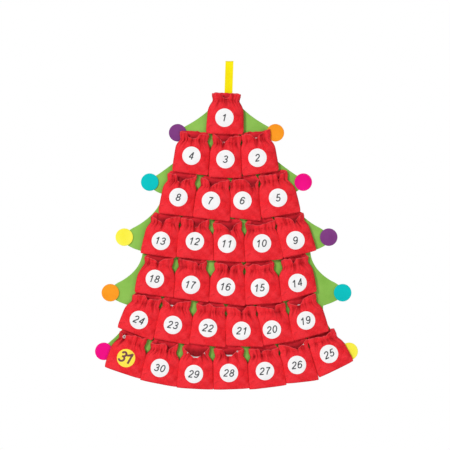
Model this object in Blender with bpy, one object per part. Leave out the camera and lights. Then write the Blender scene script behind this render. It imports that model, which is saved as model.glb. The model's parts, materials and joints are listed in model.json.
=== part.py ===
"""Wall-hung advent calendar for 31 days: a felt tree with a felt ball on each branch tip, seven curved
rows of gathered cloth pouches that hang from a stitched hem, and a ribbon loop to hang it all from.

Metres, +Z up. The front faces -Y. The origin is the point where a hook carries the ribbon loop.
"""

import math
from collections import namedtuple

import bmesh
import bpy
from mathutils import Vector

# Running clearance between pieces that touch on the real object
GAP = 0.0003

# Felt tree
FELT_THICKNESS = 0.003
TREE_SHIFT = 0.0075  # the tree's centre line lies this far to the left of the hook
BRANCH_TIP_STEPS = 5
BRANCH_EDGE_STEPS = 7

# Felt balls, which are flat discs
BALL_DIAMETER = 0.044
BALL_THICKNESS = 0.0025
BALL_CLEARANCE = 0.0006  # between a ball and the back of a pouch that hangs over it
BALL_SIDES = 28

# Hanging ribbon
RIBBON_WIDTH = 0.020
RIBBON_THICKNESS = 0.0008
LOOP_LENGTH = 0.082  # from the hook down to the top of the highest pouch
LOOP_GAP = 0.010  # inside the loop, from its front leg to its back leg
LOOP_LEAN = 0.0026  # the loop's foot stands this far to the left of the hook
LOOP_FOOT = 0.006  # the two legs are stitched together over this height
LOOP_STEPS = 7
TOP_STEPS = 6
SEWN_PLY = 0.0006  # one layer of ribbon where it is pressed flat under the stitching
SEWN_LENGTH = 0.030
SWING_CLEARANCE = 0.0008  # between the loop's foot and the sewn end, so that the loop can swing
WALL_CLEARANCE = 0.0007  # between the loop's back leg and the wall

# Pouches
POUCH_WIDTH = 0.091  # along the bottom edge, with the seams
POUCH_HEIGHT = 0.100  # from the bottom edge to the top of the back panel
CLOTH = 0.0012
SEAM_GAP = 0.0020  # between two pouches side by side
MOUTH_WIDTH = 0.0715
NECK_WIDTH = 0.0690
MOUTH_DEPTH = 0.0100  # inside, from the back panel to the front panel
NECK_DEPTH = 0.0090
SHOULDER_DEPTH = 0.0125
BELLY_DEPTH = 0.0140
FOOT_DEPTH = 0.0095
SEAM_DEPTH = 0.0030  # outside, along the bottom seam
NECK_DROP = 0.0145  # the neck starts this far below the top of the front panel
NECK_BAND = 0.0065  # height of the gathered neck, which the elastic lies in
SHOULDER_DROP = 0.032
BELLY_RISE = 0.042  # height of the fullest line above the bottom edge
FOOT_RISE = 0.007
FLOOR_RISE = 0.009  # height of the inside floor above the bottom edge
NOTCH_DEPTH = 0.006  # dip in the middle of the front panel's top edge
HEM_WIDTH = 0.028
HEM_HEIGHT = 0.006
HEM_DROP = 0.006  # stitch line below the top of the back panel
FREE_HEM_DROP = 0.001  # the same where no pouch hangs above
HANG_ANGLE = 1.5  # degrees that a pouch leans away from the tree

# Neck elastics
ELASTIC_HEIGHT = 0.005
ELASTIC_THICKNESS = 0.0008

# Rows
ROW_GAP = 0.006  # from one row's bottom edge to where the next pouch would start at full height
ROW_PITCH = POUCH_HEIGHT + ROW_GAP

# Widths down the side of a pouch, as shares of its width along the bottom
SHOULDER_SHARE = 0.905
BELLY_SHARE = 0.975
SEAM_SHARE = 0.945

# Places around a pouch: across, from the middle to the side seam; out, from the back panel to the
# front panel; and how far the place follows the front panel's height in place of the back panel's
AROUND_SHARES = (
    (-1.00, 0.42, 0.5),
    (-0.76, 0.88, 1.0),
    (-0.28, 1.00, 1.0),
    (0.00, 1.00, 1.0),
    (0.28, 1.00, 1.0),
    (0.76, 0.88, 1.0),
    (1.00, 0.42, 0.5),
    (0.40, 0.00, 0.0),
    (-0.40, 0.00, 0.0),
)
NOTCH_PLACE = 3
HEM_PLACES = (7, 8)

# Where each pouch hangs. across: the middle of its bottom edge from the tree's centre line, in pouch
# widths. drop: that point below its row's level, in row pitches. turn: degrees clockwise, seen from
# the front. wide and tall: shares of the pouch's width and height. open: how far the front panel's
# top lies below the back panel's, as a share of the height. top and foot: the slope of the top edge,
# up to the right, and of the bottom edge, down to the right, in degrees.
Place = namedtuple("Place", "day across drop turn wide tall open top foot")
ROWS = (
    (Place(1, -0.05, 0.00, 2.5, 1.00, 1.00, 0.005, 0, -1),),
    (
        Place(4, -1.0, -0.07, 6, 0.94, 1.02, 0.03, 1, 1),
        Place(3, -0.04, 0.03, 1.5, 0.85, 1.10, 0.09, 0, 0.5),
        Place(2, 0.95, -0.07, -7, 0.97, 1.02, 0.03, -1, -1.5),
    ),
    (
        Place(8, -1.39, -0.09, 8.5, 0.91, 1.09, 0.09, 2, -2.5),
        Place(7, -0.43, 0.01, 6.5, 1.01, 1.06, 0.08, 1, 0.5),
        Place(6, 0.517, 0.01, -1.5, 0.81, 1.08, 0.10, 5, 8),
        Place(5, 1.50, -0.08, -11, 1.03, 1.12, 0.09, -2.5, 1),
    ),
    (
        Place(13, -1.885, -0.13, 11, 0.95, 1.07, 0.09, 5, -3),
        Place(12, -0.86, -0.05, 0.5, 1.01, 1.05, 0.08, -6, 5),
        Place(11, 0.08, 0.01, -2, 0.85, 1.06, 0.12, 0, 5),
        Place(10, 1.03, -0.01, -6, 1.02, 1.06, 0.12, 0, 1.5),
        Place(9, 2.02, -0.16, -15.5, 0.91, 1.07, 0.09, -5, 2.5),
    ),
    (
        Place(18, -2.00, -0.20, 8, 1.08, 1.00, 0.08, -1, -0.5),
        Place(17, -0.97, -0.08, 2.5, 0.96, 1.05, 0.08, -3, 5),
        Place(16, 0.01, 0.01, 3, 0.98, 1.08, 0.09, 0, 4),
        Place(15, 1.03, 0.01, -6.5, 0.98, 1.09, 0.09, -3, 2.5),
        Place(14, 2.01, -0.16, -8, 0.99, 1.05, 0.09, 5, -8.5),
    ),
    (
        Place(24, -2.52, -0.28, 18.5, 1.00, 1.07, 0.10, 11, 2),
        Place(23, -1.51, -0.10, 8.5, 0.98, 1.11, 0.09, 0, 1.5),
        Place(22, -0.533, -0.01, 5.5, 0.98, 1.09, 0.09, 0, 0.5),
        Place(21, 0.50, 0.01, -5, 0.99, 1.06, 0.10, -6, 7),
        Place(20, 1.445, -0.06, -13, 0.84, 1.04, 0.09, -9, 4.5),
        Place(19, 2.33, -0.23, -14, 1.00, 1.03, 0.08, 2.5, -1.5),
    ),
    (
        Place(31, -2.86, -0.36, 16.5, 1.02, 1.04, 0.08, -4, 2),
        Place(30, -1.87, -0.11, 9.5, 1.00, 1.09, 0.11, 0, 1.5),
        Place(29, -0.87, 0.01, 2, 0.98, 1.11, 0.10, 0, 1),
        Place(28, 0.14, 0.02, -3.5, 0.97, 1.08, 0.09, -3, 1.5),
        Place(27, 1.14, -0.02, -7, 1.00, 1.06, 0.10, 0, 0),
        Place(26, 2.085, -0.15, -13.5, 0.86, 1.08, 0.09, 0, 7),
        Place(25, 3.055, -0.46, -26, 0.95, 1.01, 0.09, -9, 0),
    ),
)
FREE_DAYS = (1, 2, 4)  # no pouch hangs above these
ELASTIC_DAYS = (2, 3, 19, 23, 28, 29, 31)  # their elastics show in the open mouth

# The tree's right-hand half, across from its centre line in pouch widths and down from its top in
# row pitches. Each branch: the bend of its upper edge, the upper and lower ends of its tip, the
# point that its tip bends around, its ball's centre, and where its underside ends.
Branch = namedtuple("Branch", "bend upper nose lower ball crotch")
TOP_SHARE = (0.19, 0.005)
BRANCH_SHARES = (
    Branch((0.37, 0.41), (1.165, 0.774), (1.50, 0.90), (1.26, 1.00), (1.346, 0.915), (0.85, 1.05)),
    Branch((1.10, 1.45), (1.93, 1.922), (2.29, 2.06), (1.98, 2.28), (2.115, 2.083), (1.76, 2.37)),
    Branch((1.85, 2.85), (2.643, 3.20), (3.00, 3.42), (2.67, 3.606), (2.816, 3.384), (2.31, 3.726)),
    Branch((2.36, 4.20), (3.033, 4.483), (3.40, 4.70), (3.04, 4.88), (3.20, 4.698), (2.665, 5.01)),
    Branch((2.62, 5.45), (3.239, 5.877), (3.56, 6.10), (3.16, 6.274), (3.38, 6.085), (2.20, 6.45)),
)
HEM_BEND_SHARE = (1.1, 6.60)
HEM_MIDDLE_SHARE = (0.0, 6.61)

# Worked out from the sizes above
TOP_Z = -LOOP_LENGTH
WALL_Y = LOOP_GAP / 2 + RIBBON_THICKNESS + WALL_CLEARANCE
FELT_FRONT_Y = WALL_Y - FELT_THICKNESS
SEWN_THICKNESS = 2 * SEWN_PLY
POUCH_BACK = GAP + BALL_THICKNESS + BALL_CLEARANCE  # from the felt's face out to the back panels

COLOURS = {
    "green_felt": ((0.251, 0.503, 0.098), 0.95),
    "ribbon": ((0.973, 0.812, 0.005), 0.45),
    "pouch_cloth": ((0.807, 0.032, 0.040), 0.90),
    "elastic": ((0.85, 0.84, 0.82), 0.80),
    "purple_felt": ((0.223, 0.053, 0.227), 0.95),
    "orange_felt": ((0.973, 0.456, 0.009), 0.95),
    "cyan_felt": ((0.002, 0.571, 0.578), 0.95),
    "magenta_felt": ((0.913, 0.003, 0.305), 0.95),
    "yellow_felt": ((0.991, 0.921, 0.067), 0.95),
}
LEFT_BALLS = ("purple_felt", "cyan_felt", "yellow_felt", "orange_felt", "magenta_felt")
RIGHT_BALLS = ("orange_felt", "magenta_felt", "purple_felt", "cyan_felt", "yellow_felt")


def clear_scene():
    for obj in list(bpy.data.objects):
        bpy.data.objects.remove(obj)


def material(name):
    """The cloth or felt of that name, made once."""
    made = bpy.data.materials.get(name)
    if made is None:
        colour, roughness = COLOURS[name]
        made = bpy.data.materials.new(name)
        made.use_nodes = True
        shader = made.node_tree.nodes["Principled BSDF"]
        shader.inputs["Base Color"].default_value = (*colour, 1.0)
        shader.inputs["Roughness"].default_value = roughness
        shader.inputs["Metallic"].default_value = 0.0
        made.diffuse_color = (*colour, 1.0)
    return made


def add_object(name, bm, material_name):
    """A named object with its own copy of the material, from a mesh under construction."""
    bmesh.ops.recalc_face_normals(bm, faces=bm.faces)
    mesh = bpy.data.meshes.new(name)
    bm.to_mesh(mesh)
    bm.free()
    mesh.shade_smooth()
    mesh.set_sharp_from_angle(angle=math.radians(40))
    own = material(material_name).copy()
    own.name = f"{name}_{material_name}"
    mesh.materials.append(own)
    obj = bpy.data.objects.new(name, mesh)
    bpy.context.scene.collection.objects.link(obj)
    return obj


def loft(bm, rings):
    """Joins each ring of points to the next and returns the rings' vertices."""
    made = [[bm.verts.new(point) for point in ring] for ring in rings]
    for first, second in zip(made, made[1:]):
        for a, b, c, d in zip(first, first[1:] + first[:1], second[1:] + second[:1], second):
            bm.faces.new((a, b, c, d))
    return made


def join_rings(bm, first, second):
    """Closes the strip between two rings of vertices."""
    for a, b, c, d in zip(first, first[1:] + first[:1], second[1:] + second[:1], second):
        bm.faces.new((a, b, c, d))


def curve_through(start, bend, end, steps):
    """Points of a quadratic curve after its start, which a bend point pulls."""
    points = []
    for step in range(1, steps + 1):
        t = step / steps
        a, b, c = (1 - t) ** 2, 2 * t * (1 - t), t * t
        points.append(tuple(a * p + b * q + c * r for p, q, r in zip(start, bend, end)))
    return points


def half_outline():
    """The tree's right-hand edge from its top to the middle of its foot, in shares."""
    points = [TOP_SHARE]
    for branch in BRANCH_SHARES:
        points += curve_through(points[-1], branch.bend, branch.upper, BRANCH_EDGE_STEPS)
        points += curve_through(branch.upper, branch.nose, branch.lower, BRANCH_TIP_STEPS)
        points.append(branch.crotch)
    points += curve_through(points[-1], HEM_BEND_SHARE, HEM_MIDDLE_SHARE, BRANCH_EDGE_STEPS)
    return points


def tree_point(share, side=1):
    """X and Z of a share across and down, on the right for side 1 and on the left for side -1."""
    across, down = share
    return side * across * POUCH_WIDTH - TREE_SHIFT, TOP_Z - down * ROW_PITCH


def make_tree():
    right = [tree_point(share) for share in half_outline()]
    left = [tree_point(share, -1) for share in half_outline()[:-1]]
    bm = bmesh.new()
    outline = [bm.verts.new((x, FELT_FRONT_Y, z)) for x, z in right + left[::-1]]
    front = bm.faces.new(outline)
    made = bmesh.ops.extrude_face_region(bm, geom=[front])
    moved = [item for item in made["geom"] if isinstance(item, bmesh.types.BMVert)]
    bmesh.ops.translate(bm, verts=moved, vec=(0, FELT_THICKNESS, 0))
    add_object("felt_tree", bm, "green_felt")


def make_ball(name, share, side, material_name):
    """A felt disc that lies on a branch tip."""
    x, z = tree_point(share, side)
    bm = bmesh.new()
    bmesh.ops.create_circle(bm, cap_ends=True, segments=BALL_SIDES, radius=BALL_DIAMETER / 2)
    made = bmesh.ops.extrude_face_region(bm, geom=list(bm.faces))
    moved = [item for item in made["geom"] if isinstance(item, bmesh.types.BMVert)]
    bmesh.ops.translate(bm, verts=moved, vec=(0, 0, BALL_THICKNESS))
    ball = add_object(name, bm, material_name)
    ball.location = (x, FELT_FRONT_Y - GAP, z)
    ball.rotation_euler = (math.radians(90), 0, 0)


def make_balls():
    for number, branch in enumerate(BRANCH_SHARES):
        make_ball(f"felt_ball_left_{number + 1}", branch.ball, -1, LEFT_BALLS[number])
        make_ball(f"felt_ball_right_{number + 1}", branch.ball, 1, RIGHT_BALLS[number])


def ribbon_foot():
    """The middle of the loop's foot, which is also on its hinge axis."""
    y = FELT_FRONT_Y - GAP - SEWN_THICKNESS / 2
    return Vector((-LOOP_LEAN, y, TOP_Z + SWING_CLEARANCE + RIBBON_THICKNESS))


def make_sewn_end():
    """The doubled end of the ribbon, pressed flat and stitched to the front of the felt."""
    foot = ribbon_foot()
    bm = bmesh.new()
    bmesh.ops.create_cube(bm, size=1)
    bmesh.ops.scale(bm, verts=bm.verts, vec=(RIBBON_WIDTH, SEWN_THICKNESS, SEWN_LENGTH))
    sewn = add_object("ribbon_sewn_end", bm, "ribbon")
    sewn.location = (foot.x, foot.y, TOP_Z - SEWN_LENGTH / 2)


def loop_profile(start, offset, height):
    """Points (y, z) up the front leg, over the hook and down the back leg, with z from the foot."""
    radius = LOOP_GAP / 2
    leg = []
    for step in range(LOOP_STEPS + 1):
        share = step / LOOP_STEPS
        z = start + share * (height - radius - start)
        rise = (z / (height - radius)) ** 2 * (3 - 2 * z / (height - radius))
        leg.append((-(radius * rise + offset), z))
    over = []
    for step in range(1, TOP_STEPS):
        angle = math.pi * step / TOP_STEPS
        reach = radius + offset
        over.append((-reach * math.cos(angle), height - radius + reach * math.sin(angle)))
    return leg + over + [(-y, z) for y, z in reversed(leg)]


def make_loop():
    """The free part of the ribbon, a closed band whose foot swings on the stitching."""
    foot = ribbon_foot()
    height = -foot.z
    outer = loop_profile(-RIBBON_THICKNESS, RIBBON_THICKNESS, height)
    inner = loop_profile(LOOP_FOOT, 0, height)
    bm = bmesh.new()
    sides = []
    for edge in (-RIBBON_WIDTH / 2, RIBBON_WIDTH / 2):
        for profile in (outer, inner):
            ring = []
            for y, z in profile:
                lean = max(z, 0) / height
                ring.append(bm.verts.new((edge + LOOP_LEAN * lean, y - foot.y * lean, z)))
            sides.append(ring)
    left_outer, left_inner, right_outer, right_inner = sides
    join_rings(bm, left_outer, left_inner)
    join_rings(bm, right_outer, right_inner)
    join_rings(bm, left_outer, right_outer)
    join_rings(bm, left_inner, right_inner)
    add_object("ribbon_loop", bm, "ribbon").location = foot


def pouch_width(place):
    return place.wide * POUCH_WIDTH - SEAM_GAP


def hem_drop(place):
    return FREE_HEM_DROP if place.day in FREE_DAYS else HEM_DROP


def hem_seat(place):
    """How far the hem's back lies from the felt's face: the top pouch is sewn over the ribbon."""
    return 2 * GAP + SEWN_THICKNESS if place.day == 1 else GAP


def stations(place):
    """Down the pouch: front height, back height, half width, and the inside depth at each level."""
    back = place.tall * POUCH_HEIGHT
    front = back - place.open * POUCH_HEIGHT
    width = pouch_width(place)
    hem_foot = back - hem_drop(place) - HEM_HEIGHT
    neck_foot = front - NECK_DROP - NECK_BAND
    return (
        (front, back, MOUTH_WIDTH / 2, MOUTH_DEPTH),
        (front - NECK_DROP, hem_foot, NECK_WIDTH / 2, NECK_DEPTH),
        (neck_foot, neck_foot, NECK_WIDTH / 2, NECK_DEPTH),
        (front - SHOULDER_DROP, front - SHOULDER_DROP, width / 2 * SHOULDER_SHARE, SHOULDER_DEPTH),
        (BELLY_RISE, BELLY_RISE, width / 2 * BELLY_SHARE, BELLY_DEPTH),
        (FOOT_RISE, FOOT_RISE, width / 2, FOOT_DEPTH),
    )


def ring(place, front, back, half, near, far, notch=0.0):
    """Points around a pouch at one level. near and far are the depths of its back and front."""
    height = place.tall * POUCH_HEIGHT
    hem_z = height - hem_drop(place)
    points = []
    for number, (across, out, follow) in enumerate(AROUND_SHARES):
        x = across * half
        z = back + follow * (front - back)
        if number == NOTCH_PLACE:
            z -= notch
        slope = z / height * math.tan(math.radians(place.top))
        slope -= (1 - z / height) * math.tan(math.radians(place.foot))
        depth = near + out * (far - near) - hem_seat(place)
        points.append(Vector((x, -depth, z + slope * x - hem_z)))
    return points


def outer_rings(place):
    rings = []
    for number, (front, back, half, depth) in enumerate(stations(place)):
        far = POUCH_BACK + depth + 2 * CLOTH
        notch = 0.0 if number else NOTCH_DEPTH
        rings.append(ring(place, front, back, half, POUCH_BACK, far, notch))
    half = pouch_width(place) / 2 * SEAM_SHARE
    middle = POUCH_BACK + FOOT_DEPTH / 2
    near, far = middle - SEAM_DEPTH / 2, middle + SEAM_DEPTH / 2
    rings.append(ring(place, 0, 0, half, near, far))
    return rings


def inner_rings(place, inset=CLOTH):
    rings = []
    for number, (front, back, half, depth) in enumerate(stations(place)):
        if number == len(stations(place)) - 1:
            front = back = FLOOR_RISE
        near = POUCH_BACK + inset
        far = POUCH_BACK + depth + 2 * CLOTH - inset
        notch = 0.0 if number else NOTCH_DEPTH
        rings.append(ring(place, front, back, half - inset, near, far, notch))
    return rings


def add_hem(bm, rim, neck, place):
    """Folds the top of the back panel out to the felt, where it is stitched."""
    a, b = HEM_PLACES
    corners = (rim[a], rim[b], neck[b], neck[a])
    panel = bm.faces.get(corners)
    made = bmesh.ops.extrude_face_region(bm, geom=[panel])
    bmesh.ops.delete(bm, geom=[panel], context="FACES_ONLY")
    moved = [item for item in made["geom"] if isinstance(item, bmesh.types.BMVert)]
    middle = sum(vert.co.z for vert in moved) / len(moved)
    for vert in moved:
        vert.co.x = math.copysign(HEM_WIDTH / 2, vert.co.x)
        vert.co.y = 0.0
        vert.co.z = 0.0 if vert.co.z > middle else -HEM_HEIGHT


def pivot(place, row):
    """Where the pouch's stitch line crosses its middle, on the face that the hem lies on."""
    turn = math.radians(place.turn)
    up = Vector((math.sin(turn), 0, math.cos(turn)))
    level = TOP_Z - POUCH_HEIGHT - (row + place.drop) * ROW_PITCH
    foot = Vector((place.across * POUCH_WIDTH - TREE_SHIFT, FELT_FRONT_Y - hem_seat(place), level))
    return foot + up * (place.tall * POUCH_HEIGHT - hem_drop(place))


def hang(obj, place, row):
    """Hangs a piece of a pouch from the stitch line, leaning out by the hang angle."""
    obj.location = pivot(place, row)
    obj.rotation_euler = (-math.radians(HANG_ANGLE), math.radians(place.turn), 0)


def make_pouch(place, row):
    """A sack of one cloth: outer wall, folded rim, inner wall and floor, and the stitched hem."""
    bm = bmesh.new()
    outer = loft(bm, outer_rings(place))
    inner = loft(bm, inner_rings(place))
    join_rings(bm, outer[0], inner[0])
    bm.faces.new(outer[-1])
    bm.faces.new(inner[-1])
    add_hem(bm, outer[0], outer[1], place)
    hang(add_object(f"pouch_{place.day:02d}", bm, "pouch_cloth"), place, row)


def make_elastic(place, row):
    """The band that gathers the neck, lying against the inside of the cloth."""
    neck_foot, _, half, depth = stations(place)[2]
    middle = neck_foot + NECK_BAND / 2
    bm = bmesh.new()
    loops = []
    for inset in (CLOTH + GAP, CLOTH + GAP + ELASTIC_THICKNESS):
        near = POUCH_BACK + inset
        far = POUCH_BACK + depth + 2 * CLOTH - inset
        for level in (middle + ELASTIC_HEIGHT / 2, middle - ELASTIC_HEIGHT / 2):
            points = ring(place, level, level, half - inset, near, far)
            loops.append([bm.verts.new(point) for point in points])
    outer_top, outer_foot, inner_top, inner_foot = loops
    join_rings(bm, outer_top, outer_foot)
    join_rings(bm, inner_top, inner_foot)
    join_rings(bm, outer_top, inner_top)
    join_rings(bm, outer_foot, inner_foot)
    hang(add_object(f"pouch_{place.day:02d}_elastic", bm, "elastic"), place, row)


def main():
    clear_scene()
    make_tree()
    make_balls()
    make_sewn_end()
    make_loop()
    for row, places in enumerate(ROWS):
        for place in places:
            make_pouch(place, row)
            if place.day in ELASTIC_DAYS:
                make_elastic(place, row)


main()
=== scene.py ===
# %% [markdown]
# # A felt advent calendar
# This lesson dresses a plain model of a wall-hung calendar: a green felt tree, ten felt balls, thirty-one
# red cotton pouches and a yellow ribbon. The plain model gives every place and size. Each cell makes one
# thing.

# %% Load the plain model
import json
import math
import random
from contextlib import contextmanager

import bpy
import numpy as np
from mathutils import Matrix, Vector


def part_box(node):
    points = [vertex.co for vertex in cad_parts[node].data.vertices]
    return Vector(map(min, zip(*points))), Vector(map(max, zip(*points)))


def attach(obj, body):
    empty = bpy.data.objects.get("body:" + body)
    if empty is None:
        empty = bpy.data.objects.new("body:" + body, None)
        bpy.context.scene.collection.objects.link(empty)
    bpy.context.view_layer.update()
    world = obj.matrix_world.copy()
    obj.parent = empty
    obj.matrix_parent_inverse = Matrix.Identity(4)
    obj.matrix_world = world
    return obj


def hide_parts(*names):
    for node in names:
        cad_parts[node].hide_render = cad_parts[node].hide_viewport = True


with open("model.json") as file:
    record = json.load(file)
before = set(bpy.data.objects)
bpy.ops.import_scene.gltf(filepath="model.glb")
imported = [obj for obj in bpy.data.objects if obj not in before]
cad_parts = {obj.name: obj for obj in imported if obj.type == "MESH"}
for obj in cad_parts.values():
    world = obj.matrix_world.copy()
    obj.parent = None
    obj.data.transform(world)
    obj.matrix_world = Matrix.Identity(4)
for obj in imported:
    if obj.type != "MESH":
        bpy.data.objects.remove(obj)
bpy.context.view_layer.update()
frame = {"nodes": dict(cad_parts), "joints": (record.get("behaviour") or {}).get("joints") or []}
nodes = frame["nodes"]

# %% [markdown]
# Operators act on whatever is selected, so a few helpers keep that in hand. Every finished piece sits at
# the origin with its place in its mesh, as the plain model's nodes do.

# %% Helpers for selecting and finishing


def pick(obj):
    """Selects one object alone."""
    bpy.ops.object.select_all(action="DESELECT")
    obj.select_set(True)
    bpy.context.view_layer.objects.active = obj
    return obj


@contextmanager
def edit_mode(action=None):
    """Edit mode for the steps inside, with all of the mesh selected or deselected first."""
    bpy.ops.object.mode_set(mode="EDIT")
    if action:
        bpy.ops.mesh.select_all(action=action)
    yield
    bpy.ops.object.mode_set(mode="OBJECT")


def select_where(obj, kind, rule):
    """Selects the vertices, edges or faces of one object that fit a rule, and nothing else."""
    pick(obj)
    with edit_mode():
        bpy.ops.mesh.select_mode(type=kind)
        bpy.ops.mesh.select_all(action="DESELECT")
    parts = {"VERT": obj.data.vertices, "EDGE": obj.data.edges, "FACE": obj.data.polygons}
    for part in parts[kind]:
        part.select = rule(part)


def apply_modifiers(obj):
    pick(obj)
    for modifier in list(obj.modifiers):
        bpy.ops.object.modifier_apply(modifier=modifier.name)


def bevel_edges(obj, name, width):
    """Rounds the sharp edges of cut felt."""
    bevel = obj.modifiers.new(name, "BEVEL")
    bevel.width = width
    bevel.segments = 3
    bevel.limit_method = "ANGLE"
    bevel.angle_limit = math.radians(60)
    apply_modifiers(obj)


def thicken(obj, thickness, offset=-1.0, inner_material=0):
    """Gives a sheet its wall, which lies behind its faces unless the offset says otherwise."""
    wall = obj.modifiers.new("wall", "SOLIDIFY")
    wall.thickness = thickness
    wall.offset = offset
    wall.material_offset = inner_material
    apply_modifiers(obj)


def settle(obj, matrix):
    """Puts an object's place into its mesh."""
    obj.data.transform(matrix)
    obj.matrix_world = Matrix.Identity(4)


def finish_piece(obj, name, body, slot, *stands_for):
    """Names a piece, lets it ride on its body and hides the plain nodes that it stands for."""
    obj.name = name
    obj.data.name = name
    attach(obj, body)
    if stands_for:
        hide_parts(*stands_for)
    return obj


def copy_piece(obj, name):
    """A copy with its own mesh."""
    made = obj.copy()
    made.data = obj.data.copy()
    made.name = name
    bpy.context.scene.collection.objects.link(made)
    return made


def points_of(obj):
    flat = np.empty(len(obj.data.vertices) * 3)
    obj.data.vertices.foreach_get("co", flat)
    return flat.reshape(-1, 3)


def move_points(obj, points):
    obj.data.vertices.foreach_set("co", np.asarray(points, dtype=np.float64).ravel())
    obj.data.update()


def corners_of(obj):
    """The number of the vertex at each corner of each face."""
    corners = np.empty(len(obj.data.loops), dtype=np.int64)
    obj.data.loops.foreach_get("vertex_index", corners)
    return corners


def drop_uv(obj):
    while obj.data.uv_layers:
        obj.data.uv_layers.remove(obj.data.uv_layers[0])


def lay_uv(obj, across, along):
    """Lays cloth flat in a new UV map, in metres, from two values for each corner."""
    layer = obj.data.uv_layers.new(name="cloth")
    layer.data.foreach_set("uv", np.stack([across, along], axis=1).ravel())


print("helpers are ready")

# %% [markdown]
# The photograph looks straight at the calendar from far off, so a long lens does the same here. One pixel
# of the picture is 2.5 mm on the calendar.

# %% Camera
PIXEL = 0.0025
PICTURE_PIXELS = 450
HOOK_PIXEL = (229.5, 60.9)
POUCH_FRONT_Y = -0.010
CAMERA_DISTANCE = 4.2
SENSOR_MM = 36.0

camera_data = bpy.data.cameras.new("camera")
camera = bpy.data.objects.new("camera", camera_data)
bpy.context.scene.collection.objects.link(camera)
middle = PICTURE_PIXELS / 2
camera.location = (
    (middle - HOOK_PIXEL[0]) * PIXEL,
    POUCH_FRONT_Y - CAMERA_DISTANCE,
    -(middle - HOOK_PIXEL[1]) * PIXEL,
)
camera.rotation_euler = (math.radians(90), 0, 0)
camera_data.sensor_width = SENSOR_MM
camera_data.lens = SENSOR_MM * CAMERA_DISTANCE / (PICTURE_PIXELS * PIXEL)
bpy.context.scene.camera = camera
print("lens", round(camera_data.lens, 1), "mm")

# %% [markdown]
# Materials and the world's light are made of nodes that feed each other. These helpers add one node each
# and return what comes out of it, so that a chain of nodes reads like a sum.

# %% Helpers for shader nodes


def socket_in(tree, node, key, value):
    """Links an output to an input, or sets the input to a plain value."""
    if isinstance(value, bpy.types.NodeSocket):
        tree.links.new(value, node.inputs[key])
    else:
        node.inputs[key].default_value = value


def calc(tree, operation, first, second=0.0, third=0.0):
    node = tree.nodes.new("ShaderNodeMath")
    node.operation = operation
    for index, value in enumerate((first, second, third)):
        socket_in(tree, node, index, value)
    return node.outputs[0]


def times(tree, first, second):
    return calc(tree, "MULTIPLY", first, second)


def noise(tree, vector, scale, detail=2.0, rough=0.5, bend=0.0):
    node = tree.nodes.new("ShaderNodeTexNoise")
    socket_in(tree, node, "Vector", vector)
    socket_in(tree, node, "Scale", scale)
    node.inputs["Detail"].default_value = detail
    node.inputs["Roughness"].default_value = rough
    node.inputs["Distortion"].default_value = bend
    return node.outputs["Fac"]


def blend_value(tree, share, first, second):
    node = tree.nodes.new("ShaderNodeMix")
    socket_in(tree, node, "Factor", share)
    socket_in(tree, node, "A", first)
    socket_in(tree, node, "B", second)
    return node.outputs["Result"]


def blend_colour(tree, share, first, second):
    node = tree.nodes.new("ShaderNodeMix")
    node.data_type = "RGBA"
    tree.links.new(share, node.inputs[0])
    for index, colour in ((6, first), (7, second)):
        if isinstance(colour, bpy.types.NodeSocket):
            tree.links.new(colour, node.inputs[index])
        else:
            node.inputs[index].default_value = (*colour, 1)
    return node.outputs[2]


def new_group(name, inputs, outputs):
    tree = bpy.data.node_groups.new(name, "ShaderNodeTree")
    for label, kind, value in inputs:
        made = tree.interface.new_socket(label, in_out="INPUT", socket_type=kind)
        if value is not None:
            made.default_value = value
    for label in outputs:
        tree.interface.new_socket(label, in_out="OUTPUT", socket_type="NodeSocketFloat")
    start, end = tree.nodes.new("NodeGroupInput"), tree.nodes.new("NodeGroupOutput")
    return tree, start, end


print("node helpers are ready")

# %% [markdown]
# Studio light for cloth is wide and soft. The world gives some of it from all sides, a big lamp from the
# upper left draws the folds, and a weak one from the right keeps their shadows open. Rays that reach the
# world straight from the camera, by a reflection or through glass see plain white.

# %% Lights, world and floor
FLOOR_DEPTH = 1.62
FLOOR_SIZE = 3.4
FLOOR_GREY = 0.86
WORLD_LIGHT = 0.39


def area_lamp(name, place, aim, size, watts):
    data = bpy.data.lights.new(name, "AREA")
    data.shape = "DISK"
    data.size = size
    data.energy = watts
    lamp = bpy.data.objects.new(name, data)
    bpy.context.scene.collection.objects.link(lamp)
    lamp.location = place
    lamp.rotation_euler = (Vector(aim) - Vector(place)).to_track_quat("-Z", "Y").to_euler()
    return lamp


heart = (0, 0, camera.location.z)
area_lamp("key_lamp", place=(-2.9, -4.4, 1.6), aim=heart, size=1.5, watts=180)
area_lamp("fill_lamp", place=(1.6, -2.5, -1.1), aim=heart, size=1.6, watts=17)

world = bpy.data.worlds.new("studio")
bpy.context.scene.world = world
world.use_nodes = True
tree = world.node_tree
tree.nodes.clear()
rays = tree.nodes.new("ShaderNodeLightPath").outputs
direct = calc(tree, "MAXIMUM", rays["Is Camera Ray"], rays["Is Glossy Ray"])
mix = tree.nodes.new("ShaderNodeMixShader")
tree.links.new(calc(tree, "MAXIMUM", direct, rays["Is Transmission Ray"]), mix.inputs["Fac"])
for index, strength in ((1, WORLD_LIGHT), (2, 1.0)):
    sky = tree.nodes.new("ShaderNodeBackground")
    sky.inputs["Color"].default_value = (1, 1, 1, 1)
    sky.inputs["Strength"].default_value = strength
    tree.links.new(sky.outputs[0], mix.inputs[index])
tree.links.new(mix.outputs[0], tree.nodes.new("ShaderNodeOutputWorld").inputs["Surface"])

bpy.context.scene.view_settings.view_transform = "Standard"

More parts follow.
